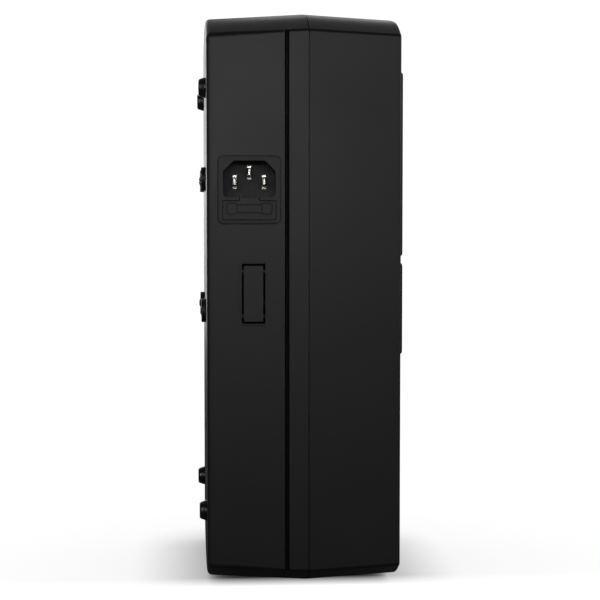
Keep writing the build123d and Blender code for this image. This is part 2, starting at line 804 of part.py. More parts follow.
# Front panel: display frame, window, display, key plate, keys, board and switches
plate_thickness = plate_recess + plate_proud
window_seat = 0.2          # window below the frame's face
with BuildPart() as display_frame:
    with BuildSketch(front_plane(0, display_z, plate_recess)):
        RectangleRounded(plate_width, display_height, plate_corner)
    extrude(amount=plate_thickness)
    chamfer(display_frame.faces().sort_by(Axis.X)[-1].edges(), length=plate_chamfer)
    with BuildSketch(front_plane(0, display_z, -plate_proud)):
        Rectangle(window_width + 2 * plate_fit, window_height + 2 * plate_fit)
    extrude(amount=-(window_seat + window_thickness), mode=Mode.SUBTRACT)
    with BuildSketch(front_plane(0, display_z, -plate_proud)):
        Rectangle(view_width, view_height)
    extrude(amount=-plate_thickness, mode=Mode.SUBTRACT)
write_part(display_frame, "display_frame")

with BuildPart() as display_window:
    with BuildSketch(front_plane(0, display_z, window_seat - plate_proud)):
        RectangleRounded(window_width, window_height, plate_fit)
    extrude(amount=-window_thickness)
write_part(display_window, "display_window")

with BuildPart() as lcd_module:
    with BuildSketch(front_plane(0, display_z, wall)):
        RectangleRounded(view_width + 2 * lcd_border, view_height + 2 * lcd_border, plate_fit)
    extrude(amount=-lcd_depth)
    with BuildSketch(front_plane(0, display_z, wall)):
        Rectangle(view_width - lcd_border, view_height - lcd_border)
    extrude(amount=wall / 2)
write_part(lcd_module, "lcd_module")

with BuildPart() as key_plate:
    with BuildSketch(front_plane(0, key_plate_z, plate_recess)):
        RectangleRounded(plate_width, key_plate_height, plate_corner)
    extrude(amount=plate_thickness)
    chamfer(key_plate.faces().sort_by(Axis.X)[-1].edges(), length=plate_chamfer)
    with BuildSketch(front_plane(0, key_plate_z, -plate_proud)):
        with Locations((power_offset, 0)):
            Circle(power_radius + key_clearance)
        with Locations([(y, 0) for y in key_offsets]):
            RectangleRounded(
                key_width + 2 * key_clearance, key_height + 2 * key_clearance, key_radius + key_clearance
            )
    extrude(amount=-plate_thickness, mode=Mode.SUBTRACT)
write_part(key_plate, "key_plate")

with BuildSketch() as power_outline:
    Circle(power_radius)
with BuildSketch() as key_outline:
    RectangleRounded(key_width, key_height, key_radius)
key_places = {"power_button": (power_offset, power_outline.sketch)}
for number, y in enumerate(key_offsets, start=1):
    key_places[f"key_{number}"] = (y, key_outline.sketch)
# keys stop short of the switch plungers by their travel and a little free play
stem_end = front_x - panel_board_x - switch_height - plunger_height - key_travel - key_free_play
for key_name, (y, outline) in key_places.items():
    with BuildPart() as key:
        flange_level = plate_recess + key_clearance
        with BuildSketch(front_plane(y, key_plate_z, flange_level)):
            add(outline)
        extrude(amount=flange_level + plate_proud + key_proud)
        top = key.faces().sort_by(Axis.X)[-1]
        fillet(top.edges(), radius=key_proud / 2)
        with BuildSketch(front_plane(y, key_plate_z, flange_level)):
            offset(outline, amount=key_flange)
        extrude(amount=-key_flange)
        with BuildSketch(front_plane(y, key_plate_z, flange_level)):
            Circle(key_stem_radius)
        extrude(amount=-(stem_end - flange_level))
    write_part(key, key_name)

with BuildPart() as panel_board:
    with BuildSketch(Plane(origin=(panel_board_x, 0, mid_z), x_dir=(0, 1, 0), z_dir=(1, 0, 0))):
        with Locations((0, (panel_board_low + panel_board_high) / 2 - mid_z)):
            Rectangle(panel_board_width, panel_board_high - panel_board_low)
        with Locations([(y, z - mid_z) for y, z in panel_post_spots]):
            Circle(board_screw_radius + shank_clearance, mode=Mode.SUBTRACT)
    extrude(amount=-board_thickness)
write_part(panel_board, "panel_board")

with BuildPart() as key_switches:
    for y in (power_offset, *key_offsets):
        with BuildSketch(Plane(origin=(panel_board_x, y, key_plate_z), x_dir=(0, 1, 0), z_dir=(1, 0, 0))):
            RectangleRounded(switch_size, switch_size, plate_fit)
        extrude(amount=switch_height)
        with BuildSketch(Plane(origin=(panel_board_x, y, key_plate_z), x_dir=(0, 1, 0), z_dir=(1, 0, 0))):
            Circle(plunger_radius)
        extrude(amount=switch_height + plunger_height)
write_part(key_switches, "key_switches")


def pan_screws(spots, head_x, direction, length):
    """Small pan-head screws: heads at head_x facing away from direction (+1 or -1 along X)."""
    with BuildPart() as screws:
        for y, z in spots:
            out = Plane(origin=(head_x, y, z), x_dir=(0, -direction, 0), z_dir=(-direction, 0, 0))
            with BuildSketch(out):
                Circle(2 * board_screw_radius)
            extrude(amount=1.2 * board_screw_radius)
            with BuildSketch(out.offset(1.2 * board_screw_radius)):
                Rectangle(2 * board_screw_radius, board_screw_radius / 3)
                Rectangle(board_screw_radius / 3, 2 * board_screw_radius)
            extrude(amount=-0.6 * board_screw_radius, mode=Mode.SUBTRACT)
            with BuildSketch(out):
                Circle(board_screw_radius)
            extrude(amount=-length)
    return screws


panel_board_screws = pan_screws(
    panel_post_spots, panel_board_x - board_thickness, 1, board_thickness + board_screw_length
)
write_part(panel_board_screws, "panel_board_screws")

# Outlet and isolator on the far side
outlet_face = outlet_plane.offset(flange_thickness)
outlet_spots = [(-pin_spacing / 2, -pin_drop), (pin_spacing / 2, -pin_drop), (0, earth_rise - pin_drop)]
with BuildPart() as outlet_body:
    with BuildSketch(outlet_plane):
        RectangleRounded(flange_width, outlet_height, flange_radius)
    extrude(amount=flange_thickness)
    with BuildSketch(outlet_plane):
        Rectangle(flange_width - 2 * inlet_wall, outlet_height - 2 * inlet_wall)
    extrude(amount=-outlet_depth)
    # moat round the tongue that the plug's shroud slides over
    with BuildSketch(outlet_face):
        add(socket_outline(outlet_tongue_width + 2 * outlet_moat_side, outlet_tongue_height + 2 * outlet_moat,
                           socket_chamfer, socket_radius))
        add(socket_outline(outlet_tongue_width, outlet_tongue_height, socket_chamfer, socket_radius),
            mode=Mode.SUBTRACT)
    extrude(amount=-outlet_moat_depth, mode=Mode.SUBTRACT)
    with BuildSketch(outlet_face):
        with Locations(outlet_spots):
            Rectangle(pin_width + 2 * plate_fit, pin_height + 2 * plate_fit)
    extrude(amount=-(outlet_depth + flange_thickness), mode=Mode.SUBTRACT)
write_part(outlet_body, "outlet_body")

with BuildPart() as outlet_contacts:
    for spot in outlet_spots:
        with BuildSketch(outlet_face.offset(-outlet_moat_depth)):
            with Locations(spot):
                Rectangle(pin_width, pin_height)
        extrude(amount=-(outlet_depth + flange_thickness - outlet_moat_depth))
        with BuildSketch(outlet_plane.offset(-outlet_depth)):
            with Locations(spot):
                Rectangle(tab_thickness, tab_width)
        extrude(amount=-tab_length)
write_part(outlet_contacts, "outlet_contacts")

isolator_face = isolator_plane.offset(flange_thickness)
rocker_radius = rocker_length / 2
rocker_pocket = rocker_radius + rocker_clearance
with BuildPart() as isolator_body:
    with BuildSketch(isolator_plane):
        RectangleRounded(isolator_width, isolator_height, flange_radius)
    extrude(amount=flange_thickness)
    with BuildSketch(isolator_plane):
        Rectangle(isolator_width - 2 * inlet_wall, isolator_height - 2 * inlet_wall)
    extrude(amount=-isolator_depth)
    with BuildSketch(isolator_face):
        Rectangle(rocker_width + 2 * rocker_clearance, 2 * rocker_pocket)
    extrude(amount=-(rocker_pocket + rocker_drop), mode=Mode.SUBTRACT)
    with BuildSketch(
        Plane(
            origin=isolator_face.from_local_coords(
                (-(rocker_width / 2 + rocker_pin_length), 0, -rocker_drop)
            ),
            z_dir=isolator_face.x_dir,
        )
    ):
        Circle(rocker_pin_radius + thread_clearance)
    extrude(amount=rocker_width + 2 * rocker_pin_length, mode=Mode.SUBTRACT)
write_part(isolator_body, "isolator_body")

# The rocker is a drum about its pivot with a shallow V cut in its face; it rests switched off.
rocker_frame = Plane(
    origin=isolator_face.from_local_coords((-rocker_width / 2, 0, -rocker_drop)),
    x_dir=isolator_face.y_dir * cos(radians(rocker_tilt)) + isolator_face.z_dir * sin(radians(rocker_tilt)),
    z_dir=isolator_face.x_dir,
)
rocker_end_angle = 14.0    # how far round the drum its face reaches
rocker_end = (rocker_radius * cos(radians(rocker_end_angle)), rocker_radius * sin(radians(rocker_end_angle)))
with BuildPart() as isolator_rocker:
    with BuildSketch(rocker_frame):
        with BuildLine():
            Polyline((-rocker_end[0], rocker_end[1]), (0, rocker_valley), rocker_end)
            ThreePointArc(rocker_end, (0, -rocker_radius), (-rocker_end[0], rocker_end[1]))
        make_face()
    extrude(amount=rocker_width)
    with BuildSketch(rocker_frame.offset(-(rocker_pin_length - rocker_clearance))):
        Circle(rocker_pin_radius)
    extrude(amount=rocker_width + 2 * (rocker_pin_length - rocker_clearance))
write_part(isolator_rocker, "isolator_rocker")

with BuildPart() as isolator_tabs:
    with BuildSketch(isolator_plane.offset(-isolator_depth)):
        with Locations((0, -rocker_radius / 2), (0, rocker_radius / 2)):
            Rectangle(tab_width, tab_thickness)
    extrude(amount=-tab_length)
write_part(isolator_tabs, "isolator_tabs")

# Battery pack: cells between two holders, linked top and bottom, with foam pads
pack_depth = cells_deep * cell_pitch + 2 * holder_margin
pack_width = cells_across * cell_pitch + 2 * holder_margin
pack_x = rear_in + pack_setback + pack_depth / 2
cell_foot = pack_floor + pack_lip + terminal_height
cell_top = cell_foot + cell_length
cell_grid = GridLocations(cell_pitch, cell_pitch, cells_deep, cells_across)
cell_spots = [(pack_x + place.position.X, place.position.Y) for place in cell_grid]
rod_spots = [(pack_x, cell_pitch * n) for n in range(-(cells_across // 2 - 1), cells_across // 2)]

for number, (x, y) in enumerate(cell_spots, start=1):
    with BuildPart() as cell:
        with BuildSketch(Plane(origin=(x, y, cell_foot))):
            Circle(cell_radius)
        extrude(amount=cell_length)
        fillet(cell.edges(), radius=holder_margin)
        with BuildSketch(Plane(origin=(x, y, cell_foot - terminal_height))):
            Circle(terminal_radius)
        extrude(amount=cell_length + 2 * terminal_height)
    write_part(cell, f"cell_{number}")

holder_plate = terminal_height
for holder_name, seat_z, direction in (("lower_holder", cell_foot, 1), ("upper_holder", cell_top, -1)):
    with BuildPart() as holder:
        plate = Plane(origin=(pack_x, 0, seat_z), x_dir=(1, 0, 0), z_dir=(0, 0, direction))
        plane = plate.offset(-holder_plate)
        with BuildSketch(plane):
            RectangleRounded(pack_depth, pack_width, holder_grip / 2)
        extrude(amount=holder_plate + holder_grip)
        with BuildSketch(plate):
            with GridLocations(cell_pitch, cell_pitch, cells_deep, cells_across):
                Circle(cell_radius + cell_fit)
        extrude(amount=holder_grip, mode=Mode.SUBTRACT)
        with BuildSketch(plane):
            with GridLocations(cell_pitch, cell_pitch, cells_deep, cells_across):
                Circle(terminal_radius + cell_fit)
        extrude(amount=holder_plate, mode=Mode.SUBTRACT)
        with BuildSketch(plane):
            with Locations([(0, direction * y) for x, y in rod_spots]):
                Circle(tie_rod_radius + cell_fit)
        extrude(amount=holder_plate + holder_grip, mode=Mode.SUBTRACT)
    write_part(holder, holder_name)

pack_low = cell_foot - terminal_height
pack_high = cell_top + terminal_height
with BuildPart() as tie_rods:
    for x, y in rod_spots:
        with BuildSketch(Plane(origin=(x, y, pack_low))):
            Circle(tie_rod_radius)
        extrude(amount=pack_high - pack_low)
write_part(tie_rods, "tie_rods")

# links join the front and rear cell of each column across their tops
with BuildPart() as cell_links:
    for column in range(cells_across):
        y = (column - (cells_across - 1) / 2) * cell_pitch
        with BuildSketch(Plane(origin=(pack_x, y, pack_high))):
            RectangleRounded(cell_pitch + link_width, link_width, link_width / 3)
        extrude(amount=link_thickness)
write_part(cell_links, "cell_links")

with BuildPart() as pack_pads:
    pad_z = (cell_foot + cell_top) / 2
    for level, thickness in (
        (rear_in, pack_setback + holder_margin + cell_pitch / 2 - cell_radius),
        (pack_x + cell_pitch / 2 + cell_radius, front_in - pack_x - cell_pitch / 2 - cell_radius),
    ):
        with BuildSketch(Plane(origin=(level, 0, pad_z), x_dir=(0, 1, 0), z_dir=(1, 0, 0))):
            RectangleRounded(pad_width, pad_height, holder_margin)
        extrude(amount=thickness)
write_part(pack_pads, "pack_pads")

management_z = pack_high + link_thickness + management_board_gap
with BuildPart() as management_board:
    with BuildSketch(Plane(origin=(pack_x, 0, management_z))):
        Rectangle(pack_depth - 2 * holder_grip, pack_width - 4 * holder_grip)
        with Locations([(0, y) for x, y in rod_spots]):
            Circle(tie_rod_radius / 2 + cell_fit, mode=Mode.SUBTRACT)
    extrude(amount=board_thickness)
    with BuildSketch(Plane(origin=(pack_x, 0, management_z + board_thickness))):
        with GridLocations(2 * link_width, link_width, 1, 6):
            with Locations((link_width, 0)):
                Rectangle(link_width * 0.7, link_width * 0.6)
    extrude(amount=board_thickness)
write_part(management_board, "management_board")

with BuildPart() as board_spacers:
    for x, y in (rod_spots[0], rod_spots[-1]):
        with BuildSketch(Plane(origin=(x, y, pack_high))):
            Circle(tie_rod_radius + plate_fit)
        extrude(amount=link_thickness + management_board_gap)
        with BuildSketch(Plane(origin=(x, y, management_z))):
            Circle(tie_rod_radius / 2)
        extrude(amount=2 * board_thickness)
write_part(board_spacers, "board_spacers")

# Inner chassis and main board
chassis_x = rear_in + chassis_pad_height
chassis_front = chassis_x + chassis_thickness
board_x = chassis_front + standoff_height
board_front = board_x + board_thickness
chassis_centre_y = (chassis_near + chassis_far) / 2
chassis_centre_z = mid_z + (chassis_low + chassis_high) / 2
chassis_y = chassis_far - chassis_near
chassis_z = chassis_high - chassis_low
board_y = chassis_y - 2 * board_margin
board_z = chassis_z - 2 * board_margin
standoff_spots = [
    (
        chassis_centre_y + side * (board_y / 2 - standoff_inset),
        chassis_centre_z + end * (board_z / 2 - standoff_inset),
    )
    for side in (-1, 1)
    for end in (-1, 1)
]


def facing_front(x, y=0.0, z=0.0):
    """Plane at x, y, z with its normal towards the front, local x along Y and local y up."""
    return Plane(origin=(x, y, z), x_dir=(0, 1, 0), z_dir=(1, 0, 0))


with BuildPart() as chassis_plate:
    with BuildSketch(facing_front(chassis_x, chassis_centre_y, chassis_centre_z)):
        RectangleRounded(chassis_y, chassis_z, flange_radius)
    extrude(amount=chassis_thickness)
    with BuildSketch(facing_front(chassis_x)):
        with Locations(rear_screw_spots):
            Circle(shank_radius + shank_clearance)
        with Locations(standoff_spots):
            Circle(board_screw_radius + shank_clearance)
    extrude(amount=chassis_thickness, mode=Mode.SUBTRACT)
write_part(chassis_plate, "chassis_plate")

with BuildPart() as clinch_nuts:
    with BuildSketch(facing_front(chassis_front)):
        with Locations(rear_screw_spots):
            RegularPolygon(nut_radius, 6)
            Circle(shank_radius + thread_clearance, mode=Mode.SUBTRACT)
    extrude(amount=nut_height)
write_part(clinch_nuts, "clinch_nuts")

with BuildPart() as board_standoffs:
    with BuildSketch(facing_front(chassis_front)):
        with Locations(standoff_spots):
            RegularPolygon(standoff_radius, 6)
            Circle(board_screw_radius + thread_clearance, mode=Mode.SUBTRACT)
    extrude(amount=standoff_height)
write_part(board_standoffs, "board_standoffs")

with BuildPart() as main_board:
    with BuildSketch(facing_front(board_x, chassis_centre_y, chassis_centre_z)):
        Rectangle(board_y, board_z)
    extrude(amount=board_thickness)
    with BuildSketch(facing_front(board_x)):
        with Locations(standoff_spots):
            Circle(board_screw_radius + shank_clearance)
    extrude(amount=board_thickness, mode=Mode.SUBTRACT)
write_part(main_board, "main_board")

main_board_screws = pan_screws(standoff_spots, board_front, -1, board_thickness + board_screw_length)
write_part(main_board_screws, "main_board_screws")

# transformer: a two-window core with the winding round its middle leg
core_y, core_z = chassis_centre_y - 20.0, chassis_centre_z - 28.0
with BuildPart() as transformer_core:
    with BuildSketch(facing_front(board_front, core_y, core_z)):
        Rectangle(core_width, core_leg * 2)
    extrude(amount=core_depth)
    core_middle = Plane(
        origin=(board_front + core_depth / 2, core_y, core_z), x_dir=(0, 1, 0), z_dir=(0, 0, 1)
    )
    with BuildSketch(core_middle):
        with GridLocations(core_leg + core_window, 0, 2, 1):
            Rectangle(core_window, core_depth - core_leg)
    extrude(amount=core_leg, both=True, mode=Mode.SUBTRACT)
write_part(transformer_core, "transformer_core")

with BuildPart() as transformer_winding:
    reach = core_window - 2 * plate_fit
    with BuildSketch(facing_front(board_front + core_leg / 2 + plate_fit, core_y, core_z)):
        RectangleRounded(core_leg + 2 * reach, 2 * core_leg + 2 * reach, core_leg / 2)
        Rectangle(core_leg + 2 * plate_fit, 2 * core_leg + 2 * plate_fit, mode=Mode.SUBTRACT)
    extrude(amount=core_depth - core_leg - 2 * plate_fit)
write_part(transformer_winding, "transformer_winding")

capacitor_spots = [
    (chassis_centre_y + capacitor_start + n * capacitor_pitch, chassis_centre_z + capacitor_rise)
    for n in range(3)
]
with BuildPart() as capacitors:
    with BuildSketch(facing_front(board_front)):
        with Locations(capacitor_spots):
            Circle(capacitor_radius)
    extrude(amount=capacitor_length)
    fillet(capacitors.edges(), radius=holder_margin)
write_part(capacitors, "capacitors")

relay_spots = [(chassis_centre_y + 28.0, chassis_centre_z - 34.0 + n * 24.0) for n in range(2)]
with BuildPart() as relays:
    with BuildSketch(facing_front(board_front)):
        with Locations(relay_spots):
            RectangleRounded(relay_width, relay_height, plate_fit)
    extrude(amount=relay_depth)
write_part(relays, "relays")

sink_y, sink_z = chassis_centre_y, chassis_centre_z + 42.0
with BuildPart() as heat_sink:
    with BuildSketch(facing_front(board_front, sink_y, sink_z)):
        Rectangle(sink_width, sink_base)
        with Locations((0, sink_base / 2 + sink_fin / 2)):
            with GridLocations(sink_pitch, 0, int(sink_width // sink_pitch), 1):
                Rectangle(sink_base / 2, sink_fin)
    extrude(amount=sink_depth)
write_part(heat_sink, "heat_sink")

with BuildPart() as power_transistors:
    with BuildSketch(facing_front(board_front, sink_y, sink_z - sink_base / 2 - transistor_thickness / 2)):
        with GridLocations(2 * transistor_width, 0, 3, 1):
            Rectangle(transistor_width, transistor_thickness)
    extrude(amount=transistor_height)
write_part(power_transistors, "power_transistors")
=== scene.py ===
# A battery backup unit in a tall two-shell plastic case, standing on end.
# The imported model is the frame; this script adds the finishes, the small turned parts and the studio.
import json
from math import cos, pi, radians

import bmesh
import bpy
import numpy as np
from mathutils import Euler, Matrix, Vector


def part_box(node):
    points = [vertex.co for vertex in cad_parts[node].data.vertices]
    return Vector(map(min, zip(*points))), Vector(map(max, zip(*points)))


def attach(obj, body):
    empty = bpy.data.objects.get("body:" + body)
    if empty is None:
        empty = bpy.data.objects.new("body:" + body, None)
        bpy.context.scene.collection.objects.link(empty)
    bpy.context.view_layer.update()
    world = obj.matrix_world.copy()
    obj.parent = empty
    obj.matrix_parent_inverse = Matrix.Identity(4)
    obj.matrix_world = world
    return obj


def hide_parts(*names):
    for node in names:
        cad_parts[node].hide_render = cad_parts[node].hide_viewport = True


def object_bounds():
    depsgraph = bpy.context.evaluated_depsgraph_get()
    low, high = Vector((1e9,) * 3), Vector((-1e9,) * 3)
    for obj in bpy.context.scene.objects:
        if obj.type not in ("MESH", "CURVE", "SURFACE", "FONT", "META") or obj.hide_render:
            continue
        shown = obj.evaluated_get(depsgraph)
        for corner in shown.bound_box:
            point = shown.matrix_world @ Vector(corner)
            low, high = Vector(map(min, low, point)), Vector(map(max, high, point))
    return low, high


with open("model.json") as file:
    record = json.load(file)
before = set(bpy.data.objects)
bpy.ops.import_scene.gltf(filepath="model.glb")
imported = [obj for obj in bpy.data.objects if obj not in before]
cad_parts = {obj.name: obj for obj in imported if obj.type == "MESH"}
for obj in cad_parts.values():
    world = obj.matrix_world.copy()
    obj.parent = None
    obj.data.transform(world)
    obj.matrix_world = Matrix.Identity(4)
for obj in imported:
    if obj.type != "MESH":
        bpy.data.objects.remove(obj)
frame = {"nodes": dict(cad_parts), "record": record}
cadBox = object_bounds()
mm = 0.001
print("frame loaded:", len(frame["nodes"]), "nodes")


# camera

view = {
    "place": (-0.0538, -0.825, 0.1861),
    "turn": 3.956,      # towards the front face, degrees
    "dip": 3.3,         # below level, degrees
    "lens": 96.3,
    "sensor": 36.0,
}

cameraData = bpy.data.cameras.new("studioCamera")
cameraData.lens = view["lens"]
cameraData.sensor_width = view["sensor"]
cameraData.clip_start = 0.01
camera = bpy.data.objects.new("studioCamera", cameraData)
camera.location = view["place"]
camera.rotation_euler = Euler((radians(90 - view["dip"]), 0, radians(-view["turn"])))
bpy.context.scene.collection.objects.link(camera)
bpy.context.scene.camera = camera
bpy.context.scene.view_settings.view_transform = "Standard"


# meshes from surfaces

def gridFaces(rows, columns, wrapColumns=False, first=0):
    # Four-sided faces between neighbouring points of a rows x columns grid, as an index table.
    r = np.arange(rows - 1)[:, None]
    c = np.arange(columns if wrapColumns else columns - 1)[None, :]
    nextColumn = (c + 1) % columns
    corners = [
        r * columns + c, r * columns + nextColumn, (r + 1) * columns + nextColumn, (r + 1) * columns + c,
    ]
    return first + np.stack(corners, axis=-1).reshape(-1, 4)


def meshPiece(name, grids, wrapColumns=False, sharpAngle=32.0):
    # One object from several grids of points, with coincident points merged and faces turned outwards.
    points, faces, first = [], [], 0
    for grid in grids:
        rows, columns = grid.shape[:2]
        points.append(grid.reshape(-1, 3))
        faces.append(gridFaces(rows, columns, wrapColumns, first))
        first += rows * columns
    mesh = bpy.data.meshes.new(name)
    mesh.from_pydata(np.concatenate(points), [], np.concatenate(faces).tolist())
    work = bmesh.new()
    work.from_mesh(mesh)
    bmesh.ops.remove_doubles(work, verts=work.verts, dist=1e-6)
    bmesh.ops.dissolve_degenerate(work, edges=work.edges, dist=1e-7)
    bmesh.ops.recalc_face_normals(work, faces=work.faces)
    work.to_mesh(mesh)
    work.free()
    return finishPiece(name, mesh, sharpAngle)


def finishPiece(name, mesh, sharpAngle):
    mesh.shade_smooth()
    mesh.set_sharp_from_angle(angle=radians(sharpAngle))
    piece = bpy.data.objects.new(name, mesh)
    bpy.context.scene.collection.objects.link(piece)
    return piece


def roundedProfile(corners, steps=6):
    # A profile whose corners are rounded: each corner is (radius from the axis, height, rounding). Each
    # rounding is a quadratic curve from the run before the corner to the run after it.
    places = np.array([corner[:2] for corner in corners], float)
    profile = [places[0][None, :]]
    t = np.linspace(0, 1, steps)[:, None]
    for before, here, after, corner in zip(places, places[1:], places[2:], corners[1:]):
        if corner[2] == 0:
            profile.append(here[None, :])
            continue
        start = here + (before - here) / np.linalg.norm(before - here) * corner[2]
        end = here + (after - here) / np.linalg.norm(after - here) * corner[2]
        profile.append((1 - t) ** 2 * start + 2 * t * (1 - t) * here + t**2 * end)
    profile.append(places[-1][None, :])
    return np.concatenate(profile)


def acrossAxis(axis):
    # Two unit directions square to an axis and to each other.
    axis = np.array(axis, float) / np.linalg.norm(axis)
    helper = np.array([0.0, 0.0, 1.0]) if abs(axis[2]) < 0.9 else np.array([1.0, 0.0, 0.0])
    first = np.cross(helper, axis)
    first /= np.linalg.norm(first)
    return axis, first, np.cross(axis, first)


def turned(profile, centre, axis, segments=64):
    # A profile carried round an axis: radius x (cosine, sine of the angle) across it, height along it.
    axis, first, second = acrossAxis(axis)
    angle = np.linspace(0, 2 * pi, segments, endpoint=False)
    ring = np.cos(angle)[:, None] * first + np.sin(angle)[:, None] * second
    return np.array(centre) + mm * (profile[:, 0, None, None] * ring + profile[:, 1, None, None] * axis)


def smoothCopy(node, name, body, slotName, material, sharpAngle=26.0):
    # The CAD node's own surface, with its loose triangles joined so that its roundings shade smoothly.
    mesh = frame["nodes"][node].data.copy()
    mesh.name = name
    work = bmesh.new()
    work.from_mesh(mesh)
    bmesh.ops.remove_doubles(work, verts=work.verts, dist=2e-6)
    work.to_mesh(mesh)
    work.free()
    if mesh.has_custom_normals:
        mesh.attributes.remove(mesh.attributes["custom_normal"])
    piece = finishPiece(name, mesh, sharpAngle)
    weighted = piece.modifiers.new("evenFlats", "WEIGHTED_NORMAL")
    weighted.keep_sharp = True
    weighted.weight = 80
    return place(piece, body, slotName, material, node)


def place(piece, body, slotName, material, *nodes):
    piece.data.materials.clear()
    piece.data.materials.append(material)
    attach(piece, body)
    if nodes:
        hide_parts(*nodes)
    return piece


# shared surface effects

def newGroup(name, inputs, outputs):
    group = bpy.data.node_groups.new(name, "ShaderNodeTree")
    for label, default in inputs:
        socket = group.interface.new_socket(label, in_out="INPUT", socket_type="NodeSocketFloat")
        socket.default_value = default
    for label, kind in outputs:
        group.interface.new_socket(label, in_out="OUTPUT", socket_type=kind)
    return group, group.nodes.new("NodeGroupInput"), group.nodes.new("NodeGroupOutput")


def mathNode(tree, operation, first, second=None, clamp=False):
    # A Math node whose inputs are sockets or plain numbers; returns its output.
    node = tree.nodes.new("ShaderNodeMath")
    node.operation = operation
    node.use_clamp = clamp
    for socket, value in zip(node.inputs, (first, second)):
        if value is None:
            continue
        if isinstance(value, (int, float)):
            socket.default_value = value
        else:
            tree.links.new(value, socket)
    return node.outputs[0]


def noiseNode(tree, scale, detail=3.0, roughness=0.5, stretch=None):
    # Noise on the piece's own object coordinates; scale is a number or a socket.
    coordinates = tree.nodes.new("ShaderNodeTexCoord")
    noise = tree.nodes.new("ShaderNodeTexNoise")
    noise.inputs["Detail"].default_value = detail
    noise.inputs["Roughness"].default_value = roughness
    source = coordinates.outputs["Object"]
    if stretch:
        mapping = tree.nodes.new("ShaderNodeMapping")
        mapping.inputs["Scale"].default_value = stretch
        tree.links.new(source, mapping.inputs["Vector"])
        source = mapping.outputs["Vector"]
    tree.links.new(source, noise.inputs["Vector"])
    if isinstance(scale, (int, float)):
        noise.inputs["Scale"].default_value = scale
    else:
        tree.links.new(scale, noise.inputs["Scale"])
    return noise.outputs["Fac"]


def makeMouldGrain():
    # Spark-eroded mould texture: two noises, the second three times finer, added as a height.
    group, inlet, outlet = newGroup(
        "mouldGrain", [("Grain", 1600.0), ("Depth", 1.0)],
        [("Height", "NodeSocketFloat"), ("Mask", "NodeSocketFloat")],
    )
    coarse = noiseNode(group, inlet.outputs["Grain"], 2.0, 0.55)
    fine = noiseNode(group, mathNode(group, "MULTIPLY", inlet.outputs["Grain"], 3.1), 2.0, 0.6)
    mixed = mathNode(group, "MULTIPLY_ADD", fine, 0.45)
    group.links.new(coarse, mixed.node.inputs[2])
    height = mathNode(group, "MULTIPLY", mixed, inlet.outputs["Depth"])
    group.links.new(height, outlet.inputs["Height"])
    mask = mathNode(group, "MULTIPLY_ADD", mixed, 2.2, clamp=True)
    mask.node.inputs[2].default_value = -1.1
    group.links.new(mask, outlet.inputs["Mask"])
    return group


def makeEdgeWearAndSheen():
    # Where the surface bends within a small radius: one minus the rounded normal's share of the true one.
    # The materials pale their edges by this mask, partly as rubbed wear and partly as a painted edge
    # highlight.
    group, inlet, outlet = newGroup(
        "rubbedEdges", [("Amount", 1.0), ("Patches", 90.0)],
        [("Mask", "NodeSocketFloat"), ("Normal", "NodeSocketVector")],
    )
    bevel = group.nodes.new("ShaderNodeBevel")
    bevel.samples = 4
    bevel.inputs["Radius"].default_value = 0.00035
    geometry = group.nodes.new("ShaderNodeNewGeometry")
    dot = group.nodes.new("ShaderNodeVectorMath")
    dot.operation = "DOT_PRODUCT"
    group.links.new(bevel.outputs["Normal"], dot.inputs[0])
    group.links.new(geometry.outputs["Normal"], dot.inputs[1])
    bend = mathNode(group, "SUBTRACT", 1.0, dot.outputs["Value"], clamp=True)
    patches = noiseNode(group, inlet.outputs["Patches"], 4.0, 0.65)
    scaled = mathNode(group, "MULTIPLY", mathNode(group, "MULTIPLY", bend, 6.0), patches)
    mask = mathNode(group, "MULTIPLY", scaled, inlet.outputs["Amount"], clamp=True)
    group.links.new(mask, outlet.inputs["Mask"])
    group.links.new(bevel.outputs["Normal"], outlet.inputs["Normal"])
    return group


def makeHandling():
    # Slow cloudy variation from handling, and a thin settled dust on faces that look up.
    group, inlet, outlet = newGroup(
        "handling", [("Clouds", 14.0), ("Dust", 0.3)],
        [("Cloud", "NodeSocketFloat"), ("Dust", "NodeSocketFloat")],
    )
    cloud = noiseNode(group, inlet.outputs["Clouds"], 5.0, 0.6)
    group.links.new(cloud, outlet.inputs["Cloud"])
    geometry = group.nodes.new("ShaderNodeNewGeometry")
    split = group.nodes.new("ShaderNodeSeparateXYZ")
    group.links.new(geometry.outputs["Normal"], split.inputs["Vector"])
    upward = mathNode(group, "MULTIPLY_ADD", split.outputs["Z"], 1.6, clamp=True)
    upward.node.inputs[2].default_value = -0.8
    specks = noiseNode(group, 420.0, 6.0, 0.75)
    settled = mathNode(group, "MULTIPLY", upward, specks)
    dust = mathNode(group, "MULTIPLY", settled, inlet.outputs["Dust"], clamp=True)
    group.links.new(dust, outlet.inputs["Dust"])
    return group


def makeBrushing():
    # Rolled or drawn metal: noise stretched thirty times along one direction, and sparse scratches.
    group, inlet, outlet = newGroup(
        "brushing", [("Lines", 900.0)], [("Height", "NodeSocketFloat"), ("Scratches", "NodeSocketFloat")]
    )
    lines = noiseNode(group, inlet.outputs["Lines"], 3.0, 0.6, stretch=(1.0, 1.0, 0.03))
    group.links.new(lines, outlet.inputs["Height"])
    sparse = noiseNode(group, 260.0, 2.0, 0.5, stretch=(1.0, 0.12, 2.5))
    scratches = mathNode(group, "MULTIPLY_ADD", sparse, 9.0, clamp=True)
    scratches.node.inputs[2].default_value = -5.9
    group.links.new(scratches, outlet.inputs["Scratches"])
    return group


mouldGrain = makeMouldGrain()
rubbedEdges = makeEdgeWearAndSheen()
handling = makeHandling()
brushing = makeBrushing()


# materials

def startMaterial(name):
    material = bpy.data.materials.new(name)
    material.use_nodes = True
    tree = material.node_tree
    return material, tree, tree.nodes["Principled BSDF"]


def addGroup(tree, group, **values):
    node = tree.nodes.new("ShaderNodeGroup")
    node.node_tree = group
    for label, value in values.items():
        node.inputs[label].default_value = value
    return node.outputs


